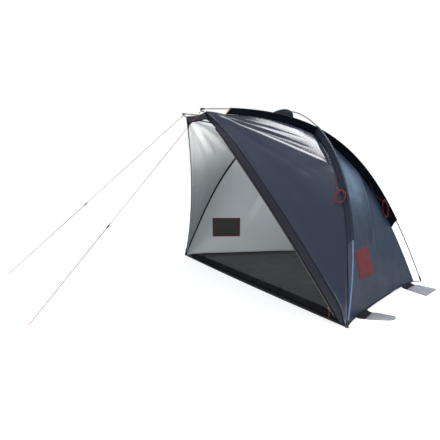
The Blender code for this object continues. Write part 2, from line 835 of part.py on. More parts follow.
def tip_web(name, side):
    """A short strap from the tip's eye to the cloth's front corner."""
    start = EYE + (MOUTH_TOP - EYE).normalized() * (LUG_R + GAP)
    end = MOUTH_TOP + (EYE - MOUTH_TOP).normalized() * 2.5 * MM
    along = (end - start).normalized()
    wide = along.cross(LONG_OUT).normalized()
    bm = box(flipped((start + end) / 2, side),
             [flipped(along, side), flipped(wide, side), flipped(LONG_OUT, side)],
             [(end - start).length, 7 * MM, WEB_THICKNESS])
    finish(name, bm, "webbing", smooth=False)


# Sleeves
def sleeve_outline(reach):
    """The folded strip round a pole, as (depth towards the seam, sideways) points."""
    inner, outer = SLEEVE_BORE_R, SLEEVE_BORE_R + SLEEVE_CLOTH
    turns = [math.radians(a) for a in (62, 118, 180, 242, 298)]
    outside = [(reach, FIN_HALF), (outer * 1.6, FIN_HALF)]
    outside += [(outer * math.cos(a), outer * math.sin(a)) for a in turns]
    outside += [(outer * 1.6, -FIN_HALF), (reach, -FIN_HALF)]
    within = [(reach, -SLEEVE_SLIT), (outer * 1.6, -SLEEVE_SLIT)]
    within += [(inner * math.cos(a), inner * math.sin(a)) for a in reversed(turns)]
    within += [(outer * 1.6, SLEEVE_SLIT), (reach, SLEEVE_SLIT)]
    return outside + within


def sleeve(name, pole_at, seam_at, lateral, start, end, slants, rings, side):
    """A sleeve along a pole, with its fin down to the seam and its ends cut on a slant."""
    outlines = []
    for ring in range(rings + 1):
        share = ring / rings
        outline = []
        for index in range(len(sleeve_outline(1))):
            s = start + (end - start) * share
            reach = (seam_at(s) - pole_at(s)).length - 0.5 * MM
            deep = max(sleeve_outline(reach)[index][0] / reach, 0)
            s += -slants[0] * deep * (1 - share) + slants[1] * deep * share
            reach = (seam_at(s) - pole_at(s)).length - 0.5 * MM
            depth, sideways = sleeve_outline(reach)[index]
            down = (seam_at(s) - pole_at(s)).normalized()
            outline.append(flipped(pole_at(s) + down * depth + lateral * sideways, side))
        outlines.append(outline)
    loft(name, outlines, "sleeve")


def sleeves():
    clear = SLEEVE_BORE_R + SLEEVE_CLOTH
    top = root(lambda s: (HOOP.at(s) - TIP).dot(LONG_OUT) - 2.2 * clear, 0, HOOP_CROSS)
    top_at_seam = root(lambda s: (hoop_seam(s / HOOP_CROSS) - TIP).dot(LONG_OUT) - 2 * BESIDE,
                       0, HOOP_CROSS * 0.999)
    for word, side in SIDES:
        sleeve(f"long_sleeve_{word}", LONG.at, long_seam, LONG_OUT, LONG_SLEEVE_START,
               LONG_SLEEVE_END, (LONG_SLEEVE_SLANT, LONG_SLEEVE_SLANT), 20, side)
        sleeve(f"hoop_sleeve_{word}", HOOP.at, lambda s: hoop_seam(s / HOOP_CROSS), HOOP_FRONT,
               HOOP_SLEEVE_START, top, (HOOP_SLEEVE_SLANT, top_at_seam - top), 13, side)


# Cloth
def cloth():
    front, wall = front_panel(), side_wall()
    for word, side in SIDES:
        panel(f"front_panel_{word}", 12, 14, lambda u, v: flipped(front(u, v), side), "canopy")
        standing = panel(f"side_wall_{word}", *WALL_CELLS,
                         lambda u, v: flipped(wall(u, v), side), "canopy")
        panel(f"side_band_{word}", 2, 14, lambda u, v: flipped(side_band(u, v), side), "band")
        patch(f"wall_patch_{word}", wall, standing, side)
    panel("top_band", 20, 2, top_band, "band")
    panel("roof_panel", *ROOF_CELLS, roof, "canopy", cells_out=(VENT_ACROSS, VENT_ALONG))
    panel("vent_mesh", *ROOF_CELLS, shrunk_vent, "mesh", keep=(VENT_ACROSS, VENT_ALONG))
    panel("rear_panel", 10, 10, rear, "canopy")
    panel("floor_sheet", *FLOOR_CELLS, floor_place, "floor")
    panel("vent_cowl", 12, 7, cowl, "canopy")


def patch(name, wall, target, side):
    """The plain patch, laid on the side wall's outer face."""
    along = (hem(1) - hem(0)).normalized()
    outwards = normal_at(wall, 0.3, 0.2)
    up = outwards.cross(along)
    up = up if up.z > 0 else -up
    middle = PATCH_AT + outwards * PATCH_LIFT * 20

    def place(u, v):
        return flipped(middle + along * (u - 0.5) * PATCH_WIDTH + up * (v - 0.5) * PATCH_HEIGHT,
                       side)

    item = panel(name, 8, 6, place, "patch", thickness=PATCH_THICKNESS)
    lay = item.modifiers.new("laid on", "SHRINKWRAP")
    lay.target = target
    lay.wrap_mode = "ABOVE_SURFACE"
    lay.offset = PATCH_LIFT + PATCH_THICKNESS
    item.modifiers.move(1, 0)


def shrunk_vent(u, v):
    """The roof's surface, drawn in a little so that the mesh fits its opening."""
    (left, right), (low, high) = VENT_ACROSS, VENT_ALONG
    middle_u = (left + right) / 2 / ROOF_CELLS[0]
    middle_v = (low + high) / 2 / ROOF_CELLS[1]
    width = (roof(right / ROOF_CELLS[0], middle_v) - roof(left / ROOF_CELLS[0], middle_v)).length
    length = (roof(0.5, high / ROOF_CELLS[1]) - roof(0.5, low / ROOF_CELLS[1])).length
    u = middle_u + (u - middle_u) * (1 - 2 * GAP / width)
    v = middle_v + (v - middle_v) * (1 - 2 * GAP / length)
    return roof(u, v)


def cowl(u, v):
    """The hood over the vent: low at the front, held up by the hoop at its open back."""
    across = 2 * u - 1
    along = COWL_START + (1 - COWL_START) * v
    half = COWL_HALF_WIDTH * (COWL_FRONT_SHARE + (1 - COWL_FRONT_SHARE) * math.sqrt(v))
    half_roof = (roof(1, along) - roof(0, along)).length / 2
    spread = math.sin(across * math.pi / 2)
    on_roof = roof(0.5 + 0.5 * spread * half / half_roof, along)
    top = HOOP.at(HOOP.length) + HOOP_FRONT * (POLE_R + GAP)
    height = top.z + POLE_R - roof(0.5, 1).z
    arch = (1 - abs(spread) ** 3.2) ** 0.42 * math.sin(v * math.pi / 2) ** 1.1
    lean = HOOP_UP * (height / HOOP_UP.z)
    to_hoop = top.y - height * math.tan(HOOP_LEAN) - roof(0.5, 1).y
    return on_roof + UP * (CLOTH + GAP) + (lean + Vector((0, to_hoop * v**3, 0))) * arch


# Zips: the slider's middle, and the pin on its outer face that the pull hangs from
SLIDER_SHARE = SLIDER_AT / MOUTH.length
SLIDER_CENTRE = MOUTH.at(SLIDER_SHARE) + ZIP_ACROSS * (SLIDER_WIDTH / 2 + GAP)
OUTSIDE = -MOUTH.outwards(SLIDER_SHARE)
PULL_AXIS = UP.cross(OUTSIDE).normalized()
PULL_ALONG = OUTSIDE.cross(PULL_AXIS).normalized()
PULL_PIN = SLIDER_CENTRE + OUTSIDE * (SLIDER_THICKNESS / 2 + PULL_EYE_R + 0.6 * MM)


def zips():
    start = SLIDER_AT * 0.35 / MOUTH.length
    end = 1 - ZIP_TOP / MOUTH.length
    half = ZIP_THICKNESS / 2
    rings = 16
    for word, side in SIDES:
        outlines = []
        for ring in range(rings + 1):
            share = start + (end - start) * ring / rings
            edge, out = MOUTH.at(share), MOUTH.outwards(share)
            outline = []
            for across, thick in ((ZIP_GAP, -half), (ZIP_WIDTH, -half), (ZIP_WIDTH, half), (ZIP_GAP, half)):
                outline.append(flipped(edge + ZIP_ACROSS * across + out * thick, side))
            outlines.append(outline)
        loft(f"zip_track_{word}", outlines, "zip")
        slider(word, side)


def slider(word, side):
    """The slider: a body that grips the zip's edge, with two ears and a pin for its pull."""
    edge, out = MOUTH.at(SLIDER_SHARE), MOUTH.outwards(SLIDER_SHARE)
    axes = [flipped(a, side) for a in (MOUTH.heading(SLIDER_SHARE), ZIP_ACROSS, out)]
    body = finish(f"zip_slider_{word}", box(flipped(SLIDER_CENTRE, side), axes,
                  [SLIDER_LENGTH, SLIDER_WIDTH, SLIDER_THICKNESS]), "zip", smooth=False,
                  origin=flipped(MOUTH.centre, side))
    bevel = body.modifiers.new("rounded", "BEVEL")
    bevel.width = 1.2 * MM
    bevel.segments = 2
    slot_end = ZIP_WIDTH + SLIDER_CLEAR
    slot_centre = edge + ZIP_ACROSS * (slot_end - SLIDER_WIDTH / 2)
    slot = finish(f"slider_slot_{word}", box(flipped(slot_centre, side), axes,
                  [SLIDER_LENGTH * 1.4, SLIDER_WIDTH, SLIDER_SLOT]), "zip", smooth=False)
    combine(body, slot, "DIFFERENCE")
    eye_room = PULL_THICKNESS / 2 + 0.5 * MM
    reach = SLIDER_THICKNESS / 2 + PULL_EYE_R + 0.6 * MM
    ear_axes = [flipped(a, side) for a in (PULL_AXIS, OUTSIDE, PULL_ALONG)]
    for number, way in enumerate((1, -1)):
        middle = PULL_PIN + PULL_AXIS * way * (eye_room + EAR_THICKNESS / 2) - OUTSIDE * reach / 4
        lug = finish(f"slider_ear_{word}_{number}", box(flipped(middle, side), ear_axes,
                     [EAR_THICKNESS, reach, 3 * PULL_PIN_R]), "zip", smooth=False)
        combine(body, lug, "UNION")
    length = eye_room + EAR_THICKNESS / 2
    rod = [(0, -length), (PULL_PIN_R, -length), (PULL_PIN_R, length), (0, length)]
    pin = finish(f"slider_pin_{word}",
                 turned(rod, flipped(PULL_PIN, side), flipped(PULL_AXIS, side), 10), "zip")
    combine(body, pin, "UNION")


def zip_pulls():
    """Each pull: an eye round the slider's pin, a strap that hangs down and a grip."""
    bore = PULL_PIN_R + 0.35 * MM
    half = PULL_THICKNESS / 2
    ring = [(bore, -half), (PULL_EYE_R, -half), (PULL_EYE_R, half), (bore, half)]
    across = PULL_AXIS.cross(UP).normalized()
    for word, side in SIDES:
        item = finish(f"zip_pull_{word}",
                      turned(ring, flipped(PULL_PIN, side), flipped(PULL_AXIS, side)), "pull",
                      origin=flipped(PULL_PIN, side))
        top = PULL_EYE_R - 0.9 * MM
        rows = ((top, 3.0), (top + PULL_NECK, 2.6), (PULL_LENGTH * 0.5, 3.0),
                (PULL_LENGTH * 0.62, PULL_WIDTH / MM), (PULL_LENGTH * 0.93, PULL_WIDTH / MM),
                (PULL_LENGTH, PULL_WIDTH / MM * 0.6))
        outlines = []
        for down, width in rows:
            centre = PULL_PIN - UP * down
            corners = ((-1, -1), (1, -1), (1, 1), (-1, 1))
            outlines.append([flipped(centre + across * a * width * MM / 2 + PULL_AXIS * b * half,
                                     side) for a, b in corners])
        strap = loft(f"pull_strap_{word}", outlines, "pull")
        combine(item, strap, "UNION")


# Rolled door, ties and toggles
FLOOR_TOP = CLOTH
ROLL_Z = FLOOR_TOP + GAP + ROLL_HEIGHT / 2


def door_roll():
    """The rolled-up door: an oval bundle along the front edge, with soft creases."""
    rings, sides = 24, 12
    outlines = []
    for ring in range(rings + 1):
        share = ring / rings
        x = -ROLL_HALF_LENGTH + 2 * ROLL_HALF_LENGTH * share
        end = min(share, 1 - share) * rings
        size = 0.62 + 0.38 * eased(end, 0, 2.2)
        outline = []
        for k in range(sides):
            angle = 2 * math.pi * k / sides
            crease = 1 + 0.035 * math.sin(3 * angle + 9 * share) * math.sin(41 * share)
            crease = min(crease, 1)
            y = math.cos(angle) * ROLL_DEPTH / 2 * size * crease
            z = math.sin(angle) * ROLL_HEIGHT / 2 * size * crease
            sink = (1 - size) * ROLL_HEIGHT / 2
            outline.append(Vector((x, ROLL_Y + y, ROLL_Z + z - sink)))
        outlines.append(outline)
    loft("door_roll", outlines, "door")
    for word, side in SIDES:
        roll_tie(word, side)


def roll_tie(word, side):
    """A strap over the roll, sewn to the floor on both sides, and the toggle that closes it."""
    x = TIE_AT * side
    inner_y, inner_z = ROLL_DEPTH / 2 + GAP, ROLL_HEIGHT / 2 + GAP
    low = FLOOR_TOP + GAP
    profile = [(-inner_y, low)]
    profile += [(-inner_y * math.cos(a), ROLL_Z + inner_z * math.sin(a))
                for a in [math.pi * k / 12 for k in range(13)]]
    profile += [(inner_y, low)]
    outlines = []
    for i, (y, z) in enumerate(profile):
        before, after = profile[max(i - 1, 0)], profile[min(i + 1, len(profile) - 1)]
        ahead = Vector((0, after[0] - before[0], after[1] - before[1])).normalized()
        out = Vector((0, -ahead.z, ahead.y))
        if i in (0, len(profile) - 1):
            out = Vector((0, math.copysign(1, y), 0))
        point = Vector((x, ROLL_Y + y, z))
        half = Vector((TIE_WIDTH / 2, 0, 0))
        thick = out * TIE_THICKNESS
        outlines.append([point - half, point + half, point + half + thick, point - half + thick])
    loft(f"roll_tie_{word}", outlines, "webbing")
    r, half = TOGGLE_R, TOGGLE_LENGTH / 2
    rest = Vector((x, ROLL_Y, ROLL_Z + inner_z + TIE_THICKNESS + GAP + r))
    shape = [(0, -half), (r * 0.7, -half), (r, -half * 0.8), (r, -half * 0.25), (r * 0.6, 0),
             (r, half * 0.25), (r, half * 0.8), (r * 0.7, half), (0, half)]
    finish(f"roll_toggle_{word}", turned(shape, rest, Vector((1, 0, 0)), 10), "black_plastic",
           origin=rest)


# Guy lines
def guy_lines():
    for word, (side, peg, runner_at) in GUYS.items():
        eye = flipped(EYE, side)
        along = guy_heading(word)
        sideways = along.cross(UP).normalized()
        start = eye + along * (LUG_R + GAP)
        end = peg + UP * (CORD_R + 0.2 * MM)
        length = (end - start).length
        runner = start + along * runner_at
        offset = sideways * STRAND_PITCH
        neck = length - 4 * LOOP_R
        centre = end - along * LOOP_R + offset / 2
        loop = []
        for k in range(LOOP_POINTS // 2 + 1):
            angle = math.radians(-40 + 260 * k / (LOOP_POINTS // 2))
            loop.append(centre + along * LOOP_R * math.sin(angle)
                        - sideways * LOOP_R * 0.8 * math.cos(angle))
        back = runner_at - RUNNER_LENGTH
        route = [start, start + along * neck, *loop, start + along * neck + offset,
                 start + along * back + offset]
        cord(f"guy_line_{word}", route, CORD_R, "cord")
        print(f"guy_line_{word}: {Path(route).length:.3f} m")
        guy_runner(word, runner, along, sideways)


def guy_runner(word, centre, along, sideways):
    """A runner with two bores: the line goes down through one and comes back to the other."""
    middle = centre + sideways * STRAND_PITCH / 2
    flat = along.cross(sideways)
    body = finish(f"guy_runner_{word}",
                  box(middle, [along, sideways, flat],
                      [RUNNER_LENGTH, RUNNER_WIDTH, RUNNER_THICKNESS]), "pull", smooth=False,
                  origin=centre)
    bevel = body.modifiers.new("rounded", "BEVEL")
    bevel.width = 1.5 * MM
    bevel.segments = 2
    length = RUNNER_LENGTH
    for number in range(2):
        origin = centre + sideways * STRAND_PITCH * number
        rod = [(0, -length), (RUNNER_BORE_R, -length), (RUNNER_BORE_R, length), (0, length)]
        bore = finish(f"runner_bore_{word}_{number}", turned(rod, origin, along, 12), "pull")
        combine(body, bore, "DIFFERENCE")


# Stowed side guys: each is tied to a sleeve and hangs in a hank over the seam below it
HANKS = (
    ("hoop", 0.985, 0.790, 0.062, 0.080),
    ("rear", 1.400, 1.615, 0.054, 0.120),
)


def stowed_guys():
    front, wall = front_panel(), side_wall()
    for kind, tied_at, hangs_at, width, height in HANKS:
        if kind == "hoop":
            pole_at, beside, cloth_at = HOOP.at, HOOP_FRONT, front
            share = hangs_at / HOOP_CROSS
        else:
            pole_at, beside, cloth_at = LONG.at, LONG_OUT, wall
            share = (LONG_GROUND - hangs_at) / (LONG_GROUND - LONG_CROSS)
        normal = normal_at(cloth_at, 0.95, share)
        outwards = (normal + beside).normalized()
        corner = math.acos(min(outwards.dot(beside), 1))
        up = (UP - outwards * outwards.z).normalized()
        sideways = outwards.cross(up)
        reach = width / 2 * math.tan(corner) + CORD_R + HANK_CLEAR
        centre = cloth_at(1, share) + outwards * reach
        turn = []
        for k in range(HANK_TURNS * LOOP_POINTS + 1):
            angle = math.pi / 2 + 2 * math.pi * k / LOOP_POINTS
            turn.append(centre + sideways * math.cos(angle) * width / 2
                        + up * math.sin(angle) * height / 2
                        + outwards * HANK_PITCH * k / LOOP_POINTS)
        seam = hoop_seam(tied_at / HOOP_CROSS) if kind == "hoop" else long_seam(tied_at)
        start = pole_at(tied_at).lerp(seam, 0.6) + beside * (FIN_HALF + GAP + CORD_R)
        pull = (start - turn[0]).length
        arrive = (turn[1] - turn[0]).normalized()
        lead = bezier(start, start - up * pull * 0.4 + beside * 3 * MM,
                      turn[0] - arrive * pull * 0.35, turn[0], 9)
        points = lead[:-1] + turn
        report_gap(kind, points)
        for word, side in SIDES:
            cord(f"stowed_guy_{kind}_{word}", [flipped(p, side) for p in points], CORD_R, "cord",
                 sides=1)


def report_gap(kind, points):
    """Prints a hank's length and its least gap to itself, measured on its points."""
    length = sum((b - a).length for a, b in zip(points, points[1:]))
    least = min((points[i] - points[j]).length for i in range(len(points))
                for j in range(i + LOOP_POINTS // 2, len(points)))
    print(f"stowed_guy_{kind}: {length:.3f} m, least gap {(least - 2 * CORD_R) / MM:.2f} mm")


# Sand pockets
def pocket_hinge(share):
    """The line that a pocket turns about: its middle, its direction and the way out from it."""
    half = POCKET_HALF_WIDTH / (hem(1) - hem(0)).length
    near, far = hem(share - half), hem(share + half)
    ahead = (far - near).normalized()
    out = ahead.cross(UP).normalized()
    middle = (near + far) / 2
    return middle + out * POCKET_CLEAR + UP * POCKET_WEB_THICKNESS / 2, ahead, out


def sand_pockets():
    for kind, share, shift, reach, end_half in POCKETS:
        hinge, ahead, out = pocket_hinge(share)
        lie = ahead * shift + out * reach

        def place(u, v, top):
            across = 2 * u - 1
            half = POCKET_HALF_WIDTH + (end_half - POCKET_HALF_WIDTH) * v
            spot = hinge + ahead * half * across + lie * v
            if v == 0:
                return spot + UP * POCKET_WEB_THICKNESS * (0.5 if top else -0.5)
            puff = eased(v * reach, POCKET_WEB * 0.7, POCKET_WEB * 1.6)
            thick = POCKET_WEB_THICKNESS + (POCKET_THICKNESS - POCKET_WEB_THICKNESS) * puff
            thick *= 1 - 0.45 * abs(across) ** 3 * puff
            thick *= 1 + 0.25 * math.sin(5 * across + 7 * v) * puff
            return Vector((spot.x, spot.y, thick if top else 0))

        for word, side in SIDES:
            bm = grid(6, 6, lambda u, v: Vector((u, v, 0)))
            grown = bmesh.ops.extrude_face_region(bm, geom=bm.faces[:])
            raised = {v for v in grown["geom"] if isinstance(v, bmesh.types.BMVert)}
            spots = {v: flipped(place(v.co.x, v.co.y, v in raised), side) for v in bm.verts}
            for vert, spot in spots.items():
                vert.co = spot
            finish(f"sand_pocket_{kind}_{word}", bm, "pocket", origin=flipped(hinge, side))


def main():
    """Clears the scene and builds every piece."""
    for item in list(bpy.data.objects):
        bpy.data.objects.remove(item, do_unlink=True)
    poles()
    tip_caps()
    corner_webs()
    sleeves()
    cloth()
    zips()
    zip_pulls()
    door_roll()
    guy_lines()
    stowed_guys()
    sand_pockets()


main()
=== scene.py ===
# %% [markdown]
# # Beach tent shelter, dressed
# The real object is a beach shelter: coated cloth over three bent fibreglass poles, held
# by cords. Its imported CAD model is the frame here. Each rigid piece keeps its CAD shape
# and gets the material of the real one. Cloth, cords and small trims are remade on the
# same places, because folds and stitches are finer than CAD solids can be.

# %% Load the frame
import json
import math

import bmesh
import bpy
import numpy as np
from mathutils import Matrix, Vector
from mathutils.bvhtree import BVHTree
from mathutils.kdtree import KDTree


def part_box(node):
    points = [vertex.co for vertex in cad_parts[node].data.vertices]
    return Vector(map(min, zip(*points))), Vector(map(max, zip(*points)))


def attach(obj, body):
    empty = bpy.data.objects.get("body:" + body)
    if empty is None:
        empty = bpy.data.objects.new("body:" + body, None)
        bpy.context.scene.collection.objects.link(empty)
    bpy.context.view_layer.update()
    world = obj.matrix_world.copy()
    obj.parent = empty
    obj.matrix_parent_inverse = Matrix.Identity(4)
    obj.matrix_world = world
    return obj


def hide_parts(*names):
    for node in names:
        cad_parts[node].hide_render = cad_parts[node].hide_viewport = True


MM = 0.001
UP = Vector((0, 0, 1))
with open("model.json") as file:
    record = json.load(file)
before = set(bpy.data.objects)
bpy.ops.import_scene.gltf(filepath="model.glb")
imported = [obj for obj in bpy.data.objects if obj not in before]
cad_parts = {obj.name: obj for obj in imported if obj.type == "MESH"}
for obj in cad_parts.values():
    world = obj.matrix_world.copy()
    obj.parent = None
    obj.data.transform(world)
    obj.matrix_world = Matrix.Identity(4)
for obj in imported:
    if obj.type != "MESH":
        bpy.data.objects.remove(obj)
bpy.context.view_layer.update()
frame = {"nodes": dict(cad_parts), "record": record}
NODES = frame["nodes"]

# %% [markdown]
# ## Camera
# The photograph looks at the shelter's right front corner from about 3 m away. A camera
# could be placed by eye, but then folds and seams never quite meet the picture. So its
# place, turn and lens were fitted to the pole feet, tips and seams that can be seen.

# %% Camera
CAMERA_AT = Vector((2.928, -1.677, 0.908))
CAMERA_YAW, CAMERA_PITCH, CAMERA_ROLL = (math.radians(a) for a in (62.99, 7.25, -1.02))
CAMERA_LENS = 36.43
SENSOR_WIDTH = 36


def add_object(name, data):
    """Puts a mesh, curve, lamp or camera into the scene."""
    made = bpy.data.objects.new(name, data)
    bpy.context.scene.collection.objects.link(made)
    return made


def camera_axes():
    """The camera's right, up and forward directions."""
    flat = Vector((-math.sin(CAMERA_YAW), math.cos(CAMERA_YAW), 0))
    forward = flat * math.cos(CAMERA_PITCH) - UP * math.sin(CAMERA_PITCH)
    right = forward.cross(UP).normalized()
    up = right.cross(forward)
    c, s = math.cos(CAMERA_ROLL), math.sin(CAMERA_ROLL)
    return right * c + up * s, up * c - right * s, forward


lens = bpy.data.cameras.new("camera")
lens.lens = CAMERA_LENS
lens.sensor_width = SENSOR_WIDTH
camera = add_object("camera", lens)
right, up, forward = camera_axes()
turn = Matrix((right, up, -forward)).transposed().to_4x4()
camera.matrix_world = Matrix.Translation(CAMERA_AT) @ turn
bpy.context.scene.camera = camera
print("camera at", tuple(round(c, 3) for c in CAMERA_AT))

# %% [markdown]
# ## Materials
# A material is a small graph: patterns feed the colour, the gloss and the relief of one
# main shader. It could be drawn by hand in the shader editor. As code it reads from top
# to bottom, and each pattern's scale follows from a real length. One helper adds any
# node, with its settings, its values and its links.


# %% Node helpers
def linear(code):
    """A linear colour, as the sockets want it, from an sRGB hex code."""
    parts = [int(code[i:i + 2], 16) / 255 for i in (1, 3, 5)]
    return [c / 12.92 if c <= 0.04045 else ((c + 0.055) / 1.055) ** 2.4 for c in parts] + [1]


def shades(code, *factors):
    """Darker and lighter shades of one hex colour."""
    return [[c * factor for c in linear(code)[:3]] + [1] for factor in factors]


def add_node(tree, kind, inputs=(), out=0, **settings):
    """Adds a node. An input given as a socket is linked, any other one is set."""
    made = tree.nodes.new("ShaderNode" + kind)
    for key, value in settings.items():
        setattr(made, key, value)
    for key, value in dict(inputs).items():
        if isinstance(value, bpy.types.NodeSocket):
            tree.links.new(value, made.inputs[key])
        else:
            made.inputs[key].default_value = value
    return made.outputs[out]


def start_material(name, colour, roughness, **sockets):
    """A new material whose shader holds plain values, with its node tree."""
    material = bpy.data.materials.new(name)
    material.use_nodes = True
    shader = material.node_tree.nodes["Principled BSDF"]
    values = {"Base Color": linear(colour), "Roughness": roughness, **sockets}
    for key, value in values.items():
        shader.inputs[key.replace("_", " ")].default_value = value
    return material, material.node_tree


def feed(tree, **patterns):
    """Links finished patterns to the main shader's sockets."""
    shader = tree.nodes["Principled BSDF"]
    for key, value in patterns.items():
        tree.links.new(value, shader.inputs[key.replace("_", " ")])


print("mid grey is", round(linear("#808080")[0], 3), "in linear light")

# %% [markdown]
# ### Coated cloth
# The shelter is sewn from thin woven polyester with a waterproof film on it. The eye
# sees crossing threads, soft creases, gloss that comes and goes, and two rows of
# stitches along each edge. An image could carry them, but it blurs close up. Patterns
# stay sharp, and the stitches follow each panel's own edge, whose distance is stored in
# the cloth as the attribute "edge", and the place along it as "along".

# %% Real sizes of the cloth's patterns
# The dye's shade changes over the widest patches and the film's gloss over smaller ones.
# Creases from packing are smaller still, and drawn out upwards.
SHADE_PATCH = 400 * MM
SHADE_RANGE = (0.94, 1.06)
GLOSS_PATCH = 111.11 * MM
GLOSS_RANGE = (-0.05, 0.07)
CREASE_SIZE = 71.43 * MM
CREASE_STRETCH = (1, 1, 0.35)
# Most of a noise texture's values lie between these two.
NOISE_LOW, NOISE_HIGH = 0.3, 0.7
# Real threads lie about 0.3 mm apart, which is too fine to show, so they're drawn coarse.
THREAD_PITCH = 3.77 * MM
THREAD_RELIEF = 0.06 * MM
STITCH_ROWS = (4 * MM, 11 * MM)
STITCH_LENGTH = 3.5 * MM
STITCH_ON_TOP = 0.72
STITCH_WIDTH = 0.8 * MM
STITCH_PULL = 0.6 * MM
GROOVE_REACH = 2 * MM


def band_scale(pitch):
    """The scale at which a wave texture's bands lie one pitch apart along an axis."""
    # At a scale of 1 the wave turns through 20 radians in a metre.
    return 2 * math.pi / (20 * pitch)


print("thread bands: scale", round(band_scale(THREAD_PITCH), 2))


# %% Threads and stitches
def threads(tree):
    """Crossing threads along the cloth's own flat directions."""
    flat = add_node(tree, "TexCoord", out="UV")
    warp, weft = (add_node(tree, "TexWave", {"Vector": flat, "Scale": band_scale(THREAD_PITCH)},
                           out="Fac", wave_type="BANDS", bands_direction=way) for way in "XY")
    return add_node(tree, "Math", {0: warp, 1: weft}, operation="MAXIMUM")


def stitches(tree, relief):
    """Rows of stitches beside the edge: their marks, and the relief with their grooves."""
    edge, along = (add_node(tree, "Attribute", out="Fac", attribute_name=name)
                   for name in ("edge", "along"))
    count = add_node(tree, "Math", {0: along, 1: STITCH_LENGTH}, operation="DIVIDE")
    part = add_node(tree, "Math", {0: count}, operation="FRACT")
    dash = add_node(tree, "Math", {0: part, 1: STITCH_ON_TOP}, operation="LESS_THAN")
    marks = 0.0
    for row in STITCH_ROWS:
        off = add_node(tree, "Math", {0: edge, 1: row}, operation="SUBTRACT")
        off = add_node(tree, "Math", {0: off}, operation="ABSOLUTE")
        line = add_node(tree, "Math", {0: off, 1: STITCH_WIDTH / 2}, operation="LESS_THAN")
        mark = add_node(tree, "Math", {0: line, 1: dash}, operation="MULTIPLY")
        marks = add_node(tree, "Math", {0: mark, 1: marks}, operation="MAXIMUM")
        groove = add_node(tree, "MapRange", {"Value": off, "From Max": GROOVE_REACH,
                                             "To Min": 1, "To Max": 0})
        relief = add_node(tree, "Bump", {"Height": groove, "Distance": -STITCH_PULL,
                                         "Normal": relief})
    return marks, relief


print("stitches", round(STITCH_LENGTH / MM, 1), "mm long")


# %% The recipe of coated cloth
def coated_cloth(name, colour, roughness, crumple=1.2 * MM, thread="#2b2f36", **sockets):
    """Woven polyester with a film on it."""
    material, tree = start_material(name, colour, roughness, **sockets)
    dark, light = shades(colour, *SHADE_RANGE)
    glossy, dull = (roughness + change for change in GLOSS_RANGE)
    spot = add_node(tree, "TexCoord", out="Object")
    fade = add_node(tree, "TexNoise", {"Vector": spot, "Scale": 1 / SHADE_PATCH, "Detail": 3})
    shade = add_node(tree, "Mix", {0: fade, 6: dark, 7: light}, out=2, data_type="RGBA")
    film = add_node(tree, "TexNoise", {"Vector": spot, "Scale": 1 / GLOSS_PATCH, "Detail": 4})
    gloss = add_node(tree, "MapRange", {"Value": film, "From Min": NOISE_LOW,
                                        "From Max": NOISE_HIGH, "To Min": glossy,
                                        "To Max": dull})
    pulled = add_node(tree, "Mapping", {"Vector": spot, "Scale": CREASE_STRETCH})
    creases = add_node(tree, "TexNoise", {"Vector": pulled, "Scale": 1 / CREASE_SIZE,
                                          "Detail": 5, "Roughness": 0.6})
    relief = add_node(tree, "Bump", {"Height": creases, "Distance": crumple})
    relief = add_node(tree, "Bump", {"Height": threads(tree), "Distance": THREAD_RELIEF,
                                     "Normal": relief})
    marks, relief = stitches(tree, relief)
    shade = add_node(tree, "Mix", {0: marks, 6: shade, 7: linear(thread)}, out=2,
                     data_type="RGBA")
    feed(tree, Base_Color=shade, Roughness=gloss, Normal=relief)
    return material


print("creases", round(CREASE_SIZE / MM), "mm wide")

# %% [markdown]
# ### The cloths of the canopy
# All panels are one kind of polyester, but they don't look alike: the awning's coating
# gleams, the walls are duller and bluer, and the inner face is pale. One material could
# serve them all, with masks. A material for each is simpler to match to the photograph,
# and a panel can hold two of them, one for each face.

# %% Canopy cloths
LOOKS = {
    # Polyester, dyed slate and coated smooth: its low roughness gives the broad gleam.
    "canopy_outside": coated_cloth("coated_polyester_slate", "#2d3344", 0.19, 0.4 * MM,
                                   "#161920", Specular_IOR_Level=0.4),
    # The same cloth in a bluer lot, less stretched: a soft, even sheen.
    "canopy_wall": coated_cloth("coated_polyester_blue_slate", "#1c2f44", 0.36, 0.2 * MM,
                                "#1b222b", Specular_IOR_Level=0.3),
    # The rear panel's cloth: as dark as the awning's, without its gleam.
    "canopy_back": coated_cloth("coated_polyester_slate_soft", "#262b37", 0.36, 0.4 * MM,
                                "#161920", Specular_IOR_Level=0.3),
    # The pale film inside: it scatters light, so the inside looks bright and milky.
    "canopy_inside": coated_cloth("coated_polyester_pale_back", "#d2d7da", 0.4, 0.6 * MM,
                                  "#6c7278", Specular_IOR_Level=0.3, Subsurface_Weight=0.4,
                                  Subsurface_Radius=(0.02, 0.02, 0.02)),
    # A folded polyester hem, charcoal and uncoated: nearly matt.
    "hem": coated_cloth("woven_polyester_charcoal", "#1f212a", 0.5, 0.6 * MM, "#15151a",
                        Specular_IOR_Level=0.25),
    # The hood's uncoated polyester: it takes almost no highlight, even under the sky.
    "hood": coated_cloth("woven_polyester_dark_blue", "#101720", 0.6, 0.6 * MM, "#0b0f14",
                         Specular_IOR_Level=0.03),
    # Floor sheet of woven polyethylene tape with a film: a dull, creased grey.
    "floor": coated_cloth("coated_polyethylene_grey", "#3f4142", 0.5),
}
print("canopy cloths", len(LOOKS))

# %% [markdown]
# ### Sleeves, bags and trims
# The smaller pieces are heavier cloth: sleeves that take the poles' rubbing, webbing,
# bags for sand, and narrow tapes. They share the recipe of the canopy's cloth, because
# they're woven and sewn in the same way, and differ in colour, gloss and creases.

